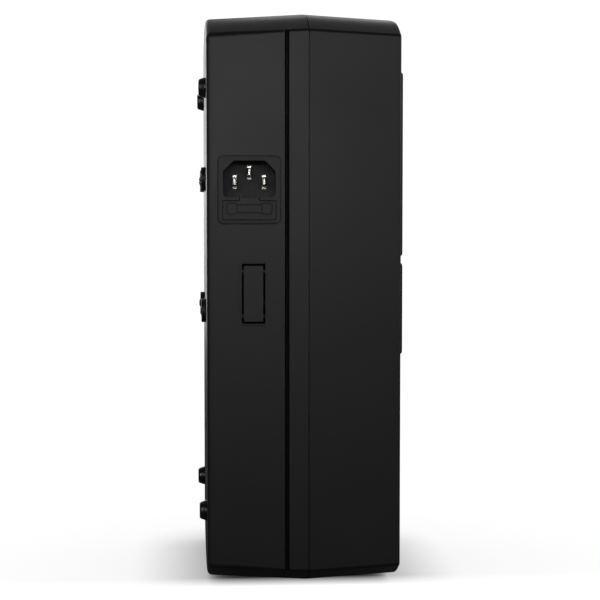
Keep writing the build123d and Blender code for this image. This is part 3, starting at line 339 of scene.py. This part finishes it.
def blendColour(tree, factor, first, second):
    # Mix of two colours, each a socket or a plain colour.
    node = tree.nodes.new("ShaderNodeMix")
    node.data_type = "RGBA"
    tree.links.new(factor, node.inputs["Factor"])
    for socket, value in ((node.inputs[6], first), (node.inputs[7], second)):
        if isinstance(value, tuple):
            socket.default_value = (*value, 1.0)
        else:
            tree.links.new(value, socket)
    return node.outputs[2]


def bumpNormal(tree, height, strength, distance, normal=None):
    bump = tree.nodes.new("ShaderNodeBump")
    bump.inputs["Strength"].default_value = strength
    bump.inputs["Distance"].default_value = distance
    tree.links.new(height, bump.inputs["Height"])
    if normal:
        tree.links.new(normal, bump.inputs["Normal"])
    return bump.outputs["Normal"]


def mouldedPlastic(name, colour, cloudColour, rough, grain, depth, edge=0.5, dust=0.12,
                   specular=0.5, coat=0.0):
    # Moulded plastic: grain in height and roughness, cloudy handling, paler edges that are partly rubbed
    # wear and partly a painted edge highlight, a little dust.
    material, tree, shader = startMaterial(name)
    grained = addGroup(tree, mouldGrain, Grain=grain, Depth=1.0)
    edges = addGroup(tree, rubbedEdges, Amount=edge)
    clouds = addGroup(tree, handling, Dust=dust)
    base = blendColour(tree, clouds["Cloud"], colour, cloudColour)
    speckled = blendColour(tree, mathNode(tree, "MULTIPLY", grained["Mask"], 0.35), base, cloudColour)
    # paler edges: partly rubbed wear, partly a painted highlight on the rounded edges
    wornAndSheenEdges = blendColour(tree, edges["Mask"], speckled, tuple(3.2 * c + 0.012 for c in colour))
    dusty = blendColour(tree, clouds["Dust"], wornAndSheenEdges, (0.30, 0.29, 0.27))
    tree.links.new(dusty, shader.inputs["Base Color"])
    cloudRough = mathNode(tree, "MULTIPLY_ADD", clouds["Cloud"], 0.14)
    cloudRough.node.inputs[2].default_value = rough - 0.07
    grainRough = mathNode(tree, "MULTIPLY_ADD", grained["Mask"], 0.10)
    tree.links.new(cloudRough, grainRough.node.inputs[2])
    polished = mathNode(tree, "MULTIPLY", edges["Mask"], 0.12)
    tree.links.new(mathNode(tree, "SUBTRACT", grainRough, polished, clamp=True), shader.inputs["Roughness"])
    normal = bumpNormal(tree, grained["Height"], depth, 0.00012, edges["Normal"])
    tree.links.new(normal, shader.inputs["Normal"])
    shader.inputs["Specular IOR Level"].default_value = specular
    if coat:
        shader.inputs["Coat Weight"].default_value = coat
        shader.inputs["Coat Roughness"].default_value = 0.12
    return material


def platedMetal(name, colour, worn, rough, lines, depth, edge=0.6):
    # Plated or rolled metal: drawn lines, a few scratches, cloudy tarnish, brighter edges that are partly
    # worn metal and partly a painted edge highlight.
    material, tree, shader = startMaterial(name)
    drawn = addGroup(tree, brushing, Lines=lines)
    edges = addGroup(tree, rubbedEdges, Amount=edge, Patches=300.0)
    clouds = addGroup(tree, handling, Clouds=60.0, Dust=0.05)
    base = blendColour(tree, clouds["Cloud"], colour, worn)
    scratched = blendColour(tree, mathNode(tree, "MULTIPLY", drawn["Scratches"], 0.5), base, worn)
    # brighter edges: partly worn metal, partly a painted highlight on the rounded edges
    bright = blendColour(tree, edges["Mask"], scratched, tuple(min(1.0, 1.25 * c) for c in colour))
    tree.links.new(bright, shader.inputs["Base Color"])
    roughness = mathNode(tree, "MULTIPLY_ADD", clouds["Cloud"], 0.16)
    roughness.node.inputs[2].default_value = rough - 0.08
    scratchRough = mathNode(tree, "MULTIPLY_ADD", drawn["Scratches"], 0.2)
    tree.links.new(roughness, scratchRough.node.inputs[2])
    tree.links.new(scratchRough, shader.inputs["Roughness"])
    normal = bumpNormal(tree, drawn["Height"], depth, 0.00005, edges["Normal"])
    tree.links.new(normal, shader.inputs["Normal"])
    shader.inputs["Metallic"].default_value = 1.0
    return material


def clearGlass(name, colour, rough):
    material, tree, shader = startMaterial(name)
    smears = noiseNode(tree, 35.0, 5.0, 0.65, stretch=(1.0, 1.0, 0.4))
    roughness = mathNode(tree, "MULTIPLY_ADD", smears, 0.08)
    roughness.node.inputs[2].default_value = rough
    tree.links.new(roughness, shader.inputs["Roughness"])
    tint = blendColour(tree, smears, colour, tuple(0.92 * c for c in colour))
    tree.links.new(tint, shader.inputs["Base Color"])
    shader.inputs["Transmission Weight"].default_value = 1.0
    shader.inputs["IOR"].default_value = 1.49
    return material


def foamMaterial(name, colour, cells):
    material, tree, shader = startMaterial(name)
    pores = tree.nodes.new("ShaderNodeTexVoronoi")
    coordinates = tree.nodes.new("ShaderNodeTexCoord")
    tree.links.new(coordinates.outputs["Object"], pores.inputs["Vector"])
    pores.inputs["Scale"].default_value = cells
    clouds = addGroup(tree, handling, Clouds=30.0)
    base = blendColour(tree, clouds["Cloud"], colour, tuple(0.7 * c for c in colour))
    # pores darker in their middles: painted shade in the pore hollows
    tree.links.new(blendColour(tree, pores.outputs["Distance"], tuple(0.4 * c for c in colour), base),
                   shader.inputs["Base Color"])
    tree.links.new(bumpNormal(tree, pores.outputs["Distance"], 0.7, 0.0004), shader.inputs["Normal"])
    rough = mathNode(tree, "MULTIPLY_ADD", clouds["Cloud"], 0.1)
    rough.node.inputs[2].default_value = 0.85
    tree.links.new(rough, shader.inputs["Roughness"])
    return material


def boardMaterial(name, resist, copper):
    # Circuit board: solder resist over tracks that show as raised, slightly paler bands, with tinned
    # pads.
    material, tree, shader = startMaterial(name)
    coordinates = tree.nodes.new("ShaderNodeTexCoord")
    bricks = tree.nodes.new("ShaderNodeTexBrick")
    turn = tree.nodes.new("ShaderNodeMapping")
    turn.inputs["Rotation"].default_value = (0, radians(90), 0)
    tree.links.new(coordinates.outputs["Object"], turn.inputs["Vector"])
    tree.links.new(turn.outputs["Vector"], bricks.inputs["Vector"])
    bricks.inputs["Scale"].default_value = 160.0
    bricks.inputs["Mortar Size"].default_value = 0.028
    dots = tree.nodes.new("ShaderNodeTexVoronoi")
    tree.links.new(coordinates.outputs["Object"], dots.inputs["Vector"])
    dots.inputs["Scale"].default_value = 240.0
    pads = mathNode(tree, "LESS_THAN", dots.outputs["Distance"], 0.16)
    clouds = addGroup(tree, handling, Clouds=40.0)
    base = blendColour(tree, clouds["Cloud"], resist, tuple(0.75 * c for c in resist))
    tracked = blendColour(tree, bricks.outputs["Fac"], base, copper)
    tree.links.new(blendColour(tree, pads, tracked, (0.62, 0.61, 0.58)), shader.inputs["Base Color"])
    tree.links.new(bumpNormal(tree, bricks.outputs["Fac"], 0.5, 0.0001), shader.inputs["Normal"])
    tree.links.new(mathNode(tree, "MULTIPLY_ADD", clouds["Cloud"], 0.3), shader.inputs["Roughness"])
    tree.links.new(mathNode(tree, "MULTIPLY", pads, 0.9), shader.inputs["Metallic"])
    return material


def windingMaterial(name, colour, turns):
    # Enamelled wire laid side by side: a wave across the coil's axis, rounded in height, and darker in the
    # troughs between turns as painted shade.
    material, tree, shader = startMaterial(name)
    coordinates = tree.nodes.new("ShaderNodeTexCoord")
    wave = tree.nodes.new("ShaderNodeTexWave")
    wave.bands_direction = "Z"
    wave.inputs["Scale"].default_value = turns
    wave.inputs["Distortion"].default_value = 0.4
    tree.links.new(coordinates.outputs["Object"], wave.inputs["Vector"])
    # darker in the troughs: painted shade between the turns of wire
    tree.links.new(blendColour(tree, wave.outputs["Fac"], tuple(0.3 * c for c in colour), colour),
                   shader.inputs["Base Color"])
    tree.links.new(bumpNormal(tree, wave.outputs["Fac"], 0.8, 0.0003), shader.inputs["Normal"])
    rough = mathNode(tree, "MULTIPLY_ADD", noiseNode(tree, 200.0), 0.2)
    rough.node.inputs[2].default_value = 0.22
    tree.links.new(rough, shader.inputs["Roughness"])
    shader.inputs["Metallic"].default_value = 0.8
    return material


# colour, cloud colour, roughness, grains per metre, grain height in mm, edge wear and painted edge
# highlight
plastics = {
    "case_black": ((0.0045, 0.0045, 0.0048), (0.0075, 0.0075, 0.0078), 0.36, 2600.0, 0.10, 0.55),
    "socket_black": ((0.017, 0.017, 0.0175), (0.034, 0.034, 0.035), 0.46, 1000.0, 0.55, 0.6),
    "rocker_black": ((0.006, 0.006, 0.006), (0.010, 0.010, 0.010), 0.22, 2200.0, 0.05, 0.4),
    "foot_rubber": ((0.004, 0.004, 0.004), (0.008, 0.008, 0.008), 0.17, 1500.0, 0.05, 0.3),
    "washer_nylon": ((0.007, 0.007, 0.007), (0.011, 0.011, 0.011), 0.34, 2000.0, 0.10, 0.5),
    "frame_gloss": ((0.005, 0.005, 0.006), (0.008, 0.008, 0.009), 0.20, 3000.0, 0.04, 0.5),
    "key_grey": ((0.055, 0.056, 0.060), (0.075, 0.076, 0.080), 0.45, 1800.0, 0.20, 0.6),
    "component_black": ((0.012, 0.012, 0.012), (0.020, 0.020, 0.020), 0.50, 1500.0, 0.25, 0.5),
    "capacitor_sleeve": ((0.010, 0.014, 0.06), (0.016, 0.02, 0.09), 0.25, 900.0, 0.08, 0.5),
    "ferrite_core": ((0.045, 0.045, 0.048), (0.07, 0.07, 0.072), 0.55, 1400.0, 0.5, 0.5),
    "holder_plastic": ((0.04, 0.04, 0.042), (0.06, 0.06, 0.062), 0.48, 1500.0, 0.2, 0.5),
    "cell_sleeve": ((0.02, 0.11, 0.30), (0.03, 0.15, 0.38), 0.28, 700.0, 0.06, 0.5),
    "lcd_dark": ((0.050, 0.062, 0.055), (0.065, 0.078, 0.068), 0.18, 2600.0, 0.03, 0.5),
}
polish = {
    "rocker_black": {"coat": 0.4}, "frame_gloss": {"coat": 0.5}, "foot_rubber": {"specular": 0.7},
    "capacitor_sleeve": {"coat": 0.3}, "cell_sleeve": {"coat": 0.4},
}
# colour, worn colour, roughness, drawn lines per metre, line height in mm
metals = {
    "black_steel": ((0.055, 0.055, 0.058), (0.10, 0.095, 0.09), 0.34, 800.0, 0.2),
    "zinc_steel": ((0.62, 0.62, 0.60), (0.45, 0.45, 0.43), 0.34, 900.0, 0.3),
    "zinc_sheet": ((0.55, 0.56, 0.57), (0.42, 0.43, 0.45), 0.40, 500.0, 0.3),
    "brass_turned": ((0.72, 0.54, 0.25), (0.50, 0.36, 0.16), 0.28, 900.0, 0.3),
    "brass_strip": ((0.74, 0.58, 0.30), (0.52, 0.40, 0.20), 0.26, 700.0, 0.3),
    "nickel_plate": ((0.84, 0.82, 0.78), (0.66, 0.64, 0.60), 0.26, 1200.0, 0.2),
    "nickel_strip": ((0.72, 0.70, 0.66), (0.55, 0.54, 0.50), 0.32, 700.0, 0.3),
    "heat_sink_alloy": ((0.74, 0.74, 0.75), (0.58, 0.58, 0.60), 0.36, 500.0, 0.4),
}
finishes = {
    "fuse_glass": clearGlass("fuseGlass", (0.93, 0.97, 0.95), 0.02),
    "window_clear": clearGlass("windowClear", (0.55, 0.57, 0.58), 0.04),
    "foam_grey": foamMaterial("foamGrey", (0.16, 0.16, 0.17), 1100.0),
    "board_green": boardMaterial("boardGreen", (0.012, 0.10, 0.045), (0.03, 0.17, 0.07)),
    "winding_copper": windingMaterial("windingCopper", (0.72, 0.30, 0.12), 420.0),
}
for slot, values in plastics.items():
    finishes[slot] = mouldedPlastic(slot.title().replace("_", ""), *values, **polish.get(slot, {}))
for slot, values in metals.items():
    finishes[slot] = platedMetal(slot.title().replace("_", ""), *values)
print("materials made:", len(finishes))


# finishes on the nodes that stay as they are

slotOf = {part["node"]: part["material_slot"] for part in frame["record"]["subparts"]}
bodyOf = {node: body for body, nodes in frame["record"]["behaviour"]["bodies"].items() for node in nodes}
for node, piece in frame["nodes"].items():
    piece.data.materials.clear()
    piece.data.materials.append(finishes[slotOf[node]])

# the outer mouldings, with their roundings joined up
joined = (
    "rear_shell", "front_shell", "inlet_body", "fuse_drawer", "outlet_body", "isolator_body",
    "isolator_rocker", "display_frame", "key_plate", "power_button", "key_1", "key_2", "key_3",
)
for node in joined:
    words = node.split("_")
    pieceName = words[0] + "".join(word.capitalize() for word in words[1:]) + "Skin"
    smoothCopy(node, pieceName, bodyOf[node], slotOf[node], finishes[slotOf[node]])
print("outer mouldings joined:", len(joined))


# feet, washers and screws on the rear face

def groupCentres(node, count):
    # Middles of the separate solids in a node, found by which quarter of the node's box each point is in.
    points = np.array([vertex.co for vertex in frame["nodes"][node].data.vertices])
    middle = (points.max(axis=0) + points.min(axis=0)) / 2
    centres = []
    for right in (False, True):
        for high in (False, True):
            part = points[((points[:, 1] > middle[1]) == right) & ((points[:, 2] > middle[2]) == high)]
            centres.append((part.max(axis=0) + part.min(axis=0)) / 2)
    return centres[:count]


rearward = (-1.0, 0.0, 0.0)
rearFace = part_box("rear_washers")[1][0]          # the washers lie flat on it

foot = {
    "profile": ((2.0, -2.8, 0), (2.0, 0.0, 0), (4.9, 0.0, 0.25), (4.9, 0.7, 0.35), (3.95, 3.6, 0.9),
                (2.2, 3.6, 0.3), (1.9, 3.1, 0.25), (0.0, 3.1, 0)),
    "segments": 72,
}
footProfile = roundedProfile(foot["profile"])
feet = meshPiece(
    "rubberFeet",
    [turned(footProfile, (rearFace, c[1], c[2]), rearward, foot["segments"])
     for c in groupCentres("rubber_feet", 4)],
    wrapColumns=True,
)
place(feet, "case", "foot_rubber", finishes["foot_rubber"], "rubber_feet")

washer = {
    "profile": ((1.75, 0.0, 0), (5.8, 0.0, 0.2), (5.8, 2.3, 0.55), (4.4, 2.3, 0.2), (4.2, 2.1, 0.2),
                (3.4, 2.1, 0.2), (3.1, 1.3, 0.1), (1.75, 1.2, 0), (1.75, 0.0, 0)),
    "segments": 72,
}
screwCentres = groupCentres("rear_washers", 4)
washers = meshPiece(
    "rearWashers",
    [turned(roundedProfile(washer["profile"]), (rearFace, c[1], c[2]), rearward, washer["segments"])
     for c in screwCentres],
    wrapColumns=True,
)
place(washers, "case", "washer_nylon", finishes["washer_nylon"], "rear_washers")

screw = {
    "radius": 2.9, "seat": 1.25, "rim": 0.75, "dome": 0.99,
    "armWidth": 0.95, "armLength": 3.6, "recess": 1.25, "edge": 0.16,
    "shank": 1.45, "length": 12.5, "turnUnder": 0.15, "point": 0.6, "rings": 44, "segments": 120,
}


def screwHead(centre, turn):
    # Domed head: height falls with the square of the radius, less a cross whose arms narrow as they
    # deepen, then a rim down to the seat and a plain shank to its point.
    s = screw
    radius = np.linspace(0, s["radius"], s["rings"])[:, None]
    angle = np.linspace(0, 2 * pi, s["segments"], endpoint=False)[None, :]
    x, y = radius * np.cos(angle - turn), radius * np.sin(angle - turn)
    near, far = np.minimum(abs(x), abs(y)), np.maximum(abs(x), abs(y))
    across = np.clip((s["armWidth"] / 2 - near) / s["edge"], 0, 1)
    along = np.clip((s["armLength"] / 2 - far) / (3 * s["edge"]), 0, 1)
    cross = across * along
    cross = cross * cross * (3 - 2 * cross)
    height = s["seat"] + s["rim"] + s["dome"] * (1 - (radius / s["radius"]) ** 2) - s["recess"] * cross
    axis, first, second = acrossAxis(rearward)
    ring = np.cos(angle)[..., None] * first + np.sin(angle)[..., None] * second
    top = radius[..., None] * ring + height[..., None] * axis
    below = np.array((
        (s["radius"], s["seat"] + s["turnUnder"]), (s["radius"] - s["turnUnder"], s["seat"]),
        (s["shank"], s["seat"]), (s["shank"], s["seat"] + s["point"] - s["length"]),
        (0.0, s["seat"] - s["length"]),
    ))
    shank = below[:, 0, None, None] * ring + below[:, 1, None, None] * axis
    return np.array(centre) + mm * np.concatenate([top, shank])


screwTurns = (0.3, 1.1, 0.75, 0.1)        # no two screws stop at the same angle
screws = meshPiece(
    "rearScrews",
    [screwHead((rearFace, c[1], c[2]), turn) for c, turn in zip(screwCentres, screwTurns)],
    wrapColumns=True, sharpAngle=50.0,
)
place(screws, "case", "black_steel", finishes["black_steel"], "rear_screws")
print("feet, washers and screws made")


# printed marks on the keys, and what the display shows

def flatMark(face, centre, inner, outer, angles, lift):
    # A thin raised band on a face that looks along +X: inner and outer are its radii at each angle, and
    # its section is a low rectangle whose top stands lift above the face.
    low, high = face - 0.02 * mm, face + lift * mm
    radii = np.stack([inner, inner, outer, outer, inner])
    heights = np.array([low, high, high, low, low])[:, None] * np.ones_like(radii)
    across = centre[0] + mm * radii * np.sin(angles)
    up = centre[1] + mm * radii * np.cos(angles)
    grid = np.stack([heights, across, up], axis=-1)
    if abs(angles[-1] - angles[0] - 2 * pi) > 0.01:          # an open band closes at both ends
        ends = np.stack([grid[:, 0].mean(axis=0), grid[:, -1].mean(axis=0)])
        start, end = (np.broadcast_to(point, (5, 1, 3)) for point in ends)
        grid = np.concatenate([start, grid, end], axis=1)
    return grid


def boxRadius(angles, halfWidth, halfHeight):
    # Distance from the middle of a rectangle to its edge, at each angle from straight up.
    across = halfWidth / np.maximum(abs(np.sin(angles)), 1e-9)
    return np.minimum(across, halfHeight / np.maximum(abs(np.cos(angles)), 1e-9))


def polygonRadius(angles, sides, radius, turn=0.0):
    # Distance from the middle of a regular polygon to its edge, with a corner straight up.
    wedge = 2 * pi / sides
    return radius * cos(wedge / 2) / np.cos((angles - turn) % wedge - wedge / 2)


fullTurn = np.linspace(0, 2 * pi, 97)
corner = np.arctan2(1.0, 1.0)
ink = {"lift": 0.03, "line": 0.55, "ring": 2.9, "arrow": 2.3, "gap": 34.0}


def inkMaterial(name, colour, worn):
    # Pad-printed ink, thinner in patches.
    material, tree, shader = startMaterial(name)
    clouds = addGroup(tree, handling, Clouds=900.0, Dust=0.05)
    tree.links.new(blendColour(tree, clouds["Cloud"], colour, worn), shader.inputs["Base Color"])
    rough = mathNode(tree, "MULTIPLY_ADD", clouds["Cloud"], 0.2)
    rough.node.inputs[2].default_value = 0.42
    tree.links.new(rough, shader.inputs["Roughness"])
    tree.links.new(bumpNormal(tree, clouds["Cloud"], 0.3, 0.00002), shader.inputs["Normal"])
    return material


paleInk = inkMaterial("paleInk", (0.55, 0.55, 0.56), (0.42, 0.42, 0.43))


def keyFace(node):
    low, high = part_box(node)
    return high[0], ((low[1] + high[1]) / 2, (low[2] + high[2]) / 2)


def markKey(node, name, grids):
    piece = meshPiece(name, grids)
    place(piece, node, "key_grey", paleInk)


face, middle = keyFace("power_button")
openRing = np.linspace(radians(ink["gap"]), radians(360 - ink["gap"]), 80)
ringIn, ringOut = (np.full_like(openRing, ink["ring"] + side * ink["line"] / 2) for side in (-1, 1))
stroke = boxRadius(fullTurn, ink["line"] / 2, 1.5)
markKey("power_button", "powerMark", [
    flatMark(face, middle, ringIn, ringOut, openRing, ink["lift"]),
    flatMark(face, (middle[0], middle[1] + 2.4 * mm), 0 * stroke, stroke, fullTurn, ink["lift"]),
])
for node, name, turn in (("key_1", "upMark", 0.0), ("key_2", "downMark", pi)):
    face, middle = keyFace(node)
    arrow = polygonRadius(fullTurn, 3, ink["arrow"], turn)
    markKey(node, name, [flatMark(face, middle, 0 * arrow, arrow, fullTurn, ink["lift"])])
face, middle = keyFace("key_3")
disc = np.full_like(fullTurn, ink["arrow"])
markKey("key_3", "chooseMark", [flatMark(face, middle, disc - ink["line"], disc, fullTurn, ink["lift"])])

# the display shows a battery outline with four bars, and a row of load blocks below it
screen = {
    "margin": 5.0, "crown": 0.12, "lift": 0.06, "batteryHalf": (20.0, 9.0), "line": 0.9,
    "bars": 4, "barHalf": (3.6, 6.4), "barPitch": 9.2,
    "blocks": 10, "blockHalf": (2.6, 2.0), "blockPitch": 7.4,
    "batteryRise": 9.0, "blockDrop": 16.0,
}
moduleLow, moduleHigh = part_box("lcd_module")
screenMiddle = ((moduleLow[1] + moduleHigh[1]) / 2, (moduleLow[2] + moduleHigh[2]) / 2)
halfWide = (moduleHigh[1] - moduleLow[1]) / 2 - screen["margin"] * mm
halfTall = (moduleHigh[2] - moduleLow[2]) / 2 - screen["margin"] * mm


def screenGlass():
    # A sheet over the display module that crowns by the product of two cosines, closed by its four edges.
    u, v = np.meshgrid(np.linspace(-1, 1, 41), np.linspace(-1, 1, 29), indexing="ij")
    bulge = screen["crown"] * mm * np.cos(u * pi / 2) * np.cos(v * pi / 2) + 0.3 * mm
    bulge[[0, -1], :] = 0
    bulge[:, [0, -1]] = 0
    across, up = screenMiddle[0] + halfWide * u, screenMiddle[1] + halfTall * v
    top = np.stack([moduleHigh[0] + bulge, across, up], axis=-1)
    back = top.copy()
    back[..., 0] = moduleHigh[0]
    return [top, back]


glass = meshPiece("screenGlass", screenGlass())
place(glass, "case", "lcd_dark", inkMaterial("screenGrey", (0.115, 0.13, 0.115), (0.10, 0.115, 0.10)))
screenFace = moduleHigh[0] + (screen["crown"] + 0.3) * mm


def rectangleMark(across, up, half, hollow=0.0):
    outer = boxRadius(fullTurn, *half)
    inner = boxRadius(fullTurn, half[0] - hollow, half[1] - hollow) if hollow else 0 * outer
    return flatMark(screenFace, (screenMiddle[0] + across * mm, screenMiddle[1] + up * mm), inner, outer,
                    fullTurn, screen["lift"])


segments = [
    rectangleMark(0, screen["batteryRise"], screen["batteryHalf"], screen["line"]),
    rectangleMark(screen["batteryHalf"][0] + 1.2, screen["batteryRise"], (1.2, 3.6)),
]
for n in range(screen["bars"]):
    across = (n - (screen["bars"] - 1) / 2) * screen["barPitch"]
    segments.append(rectangleMark(across, screen["batteryRise"], screen["barHalf"]))
for n in range(screen["blocks"]):
    across = (n - (screen["blocks"] - 1) / 2) * screen["blockPitch"]
    segments.append(rectangleMark(across, -screen["blockDrop"], screen["blockHalf"]))
shown = meshPiece("screenSegments", segments)
place(shown, "case", "lcd_dark", inkMaterial("segmentInk", (0.012, 0.014, 0.012), (0.02, 0.022, 0.02)))
print("key marks and display made")


# studio

def paleFloor():
    # Pale sheet: white to the camera, darkened where the unit shades it near and far, dim in reflections.
    material, tree, shader = startMaterial("paleFloor")
    tree.nodes.remove(shader)
    seen = tree.nodes.new("ShaderNodeLightPath")
    shades = []
    for reach in floorShade["reaches"]:
        shade = tree.nodes.new("ShaderNodeAmbientOcclusion")
        shade.inputs["Distance"].default_value = reach
        shade.samples = 24
        shades.append(shade.outputs["AO"])
    contact = mathNode(tree, "POWER", shades[0], floorShade["contact"])
    spread = mathNode(tree, "MULTIPLY_ADD", shades[1], floorShade["spread"])
    spread.node.inputs[2].default_value = floorShade["white"] - floorShade["spread"]
    # the shade fades out in front of the unit: rises in a straight line over the run behind the fade line
    where = tree.nodes.new("ShaderNodeTexCoord")
    sides = tree.nodes.new("ShaderNodeSeparateXYZ")
    tree.links.new(where.outputs["Object"], sides.inputs["Vector"])
    fade = mathNode(tree, "MULTIPLY_ADD", sides.outputs["Y"], 1 / floorShade["run"], clamp=True)
    fade.node.inputs[2].default_value = (floorShade["front"] - cadBox[0][1]) / floorShade["run"]
    shaded = mathNode(tree, "MULTIPLY", contact, spread)
    lost = mathNode(tree, "MULTIPLY", mathNode(tree, "SUBTRACT", floorShade["white"], shaded), fade)
    glow = tree.nodes.new("ShaderNodeEmission")
    tree.links.new(mathNode(tree, "SUBTRACT", floorShade["white"], lost), glow.inputs["Strength"])
    dim = tree.nodes.new("ShaderNodeBsdfDiffuse")
    dim.inputs["Color"].default_value = (*floorShade["reflected"], 1.0)
    choose = tree.nodes.new("ShaderNodeMixShader")
    tree.links.new(seen.outputs["Is Camera Ray"], choose.inputs[0])
    tree.links.new(dim.outputs[0], choose.inputs[1])
    tree.links.new(glow.outputs[0], choose.inputs[2])
    tree.links.new(choose.outputs[0], tree.nodes["Material Output"].inputs["Surface"])
    return material


floorShade = {
    "reaches": (0.040, 0.30),       # metres that the contact and the spread shade reach
    # metres from the near side to where the shade begins (less than nothing is behind it), and its growth
    "front": -0.030,
    "run": 0.020,
    "contact": 0.9,
    "spread": 0.34,
    "white": 1.04,
    "reflected": (0.22, 0.22, 0.22),
}
floorSize = 30.0
span = np.linspace(-floorSize, floorSize, 3)
floorGrid = np.stack([*np.meshgrid(span, span, indexing="ij"), np.full((3, 3), cadBox[0][2])], axis=-1)
floor = meshPiece("studioFloor", [floorGrid])
floor.data.materials.append(paleFloor())

skyBand = {
    "lobes": ((0.34, 160.0), (0.48, 0.6)),      # height and sharpness about the horizon
    "frontAndBack": 0.52, "back": 0.22, "sides": 0.12,
    "overhead": 0.035,
    "seen": 1.05,       # what the camera sees behind the unit
}
world = bpy.data.worlds.new("studioWorld")
bpy.context.scene.world = world
world.use_nodes = True
sky = world.node_tree
skyLight = sky.nodes["Background"]
direction = sky.nodes.new("ShaderNodeTexCoord")
axes = sky.nodes.new("ShaderNodeSeparateXYZ")
sky.links.new(direction.outputs["Generated"], axes.inputs["Vector"])
# bright behind the unit, half as bright in front, dim to the sides and overhead
ySquared = mathNode(sky, "MULTIPLY", axes.outputs["Y"], axes.outputs["Y"])
around = mathNode(sky, "MULTIPLY_ADD", ySquared, skyBand["frontAndBack"])
tilted = mathNode(sky, "MULTIPLY", axes.outputs["Y"], skyBand["back"])
sky.links.new(mathNode(sky, "ADD", tilted, skyBand["sides"]), around.node.inputs[2])
# two lobes about the horizon, each a height times exp(-sharpness x rise squared)
rise = mathNode(sky, "MULTIPLY", axes.outputs["Z"], axes.outputs["Z"])
lobes = [mathNode(sky, "MULTIPLY", mathNode(sky, "EXPONENT", mathNode(sky, "MULTIPLY", rise, -sharp)), tall)
         for tall, sharp in skyBand["lobes"]]
band = mathNode(sky, "ADD", *lobes)
level = mathNode(sky, "MAXIMUM", mathNode(sky, "MULTIPLY", around, band), skyBand["overhead"])
ray = sky.nodes.new("ShaderNodeLightPath")
backdrop = mathNode(sky, "MULTIPLY", ray.outputs["Is Camera Ray"], skyBand["seen"])
strength = mathNode(sky, "MAXIMUM", level, backdrop)
sky.links.new(strength, skyLight.inputs["Strength"])
skyLight.inputs["Color"].default_value = (1.0, 1.0, 1.0, 1.0)

softboxes = {
    "keySoftbox": {"place": (-0.35, -1.9, 0.75), "size": (1.2, 0.5), "power": 2.6},
    "stripSoftbox": {"place": (-0.05, -1.5, 0.34), "size": (0.9, 0.05), "power": 1.6},
    "tallSoftbox": {"place": (-1.25, -1.15, 0.45), "size": (0.16, 1.1), "power": 2.4},
    "fillSoftbox": {"place": (1.6, -0.5, 0.5), "size": (0.8, 0.8), "power": 6.0},
    "rearSoftbox": {"place": (-0.42, 1.6, 0.30), "size": (0.6, 0.8), "power": 3.0},
    "backSoftbox": {"place": (0.5, 1.7, 0.7), "size": (1.0, 0.7), "power": 2.5},
}
aim = Vector((0.0, 0.0, 0.14))
for lampName, settings in softboxes.items():
    lampData = bpy.data.lights.new(lampName, "AREA")
    lampData.shape = "RECTANGLE"
    lampData.size, lampData.size_y = settings["size"]
    lampData.energy = settings["power"]
    lamp = bpy.data.objects.new(lampName, lampData)
    lamp.location = settings["place"]
    lamp.rotation_euler = (aim - lamp.location).to_track_quat("-Z", "Y").to_euler()
    bpy.context.scene.collection.objects.link(lamp)
print("studio lit")
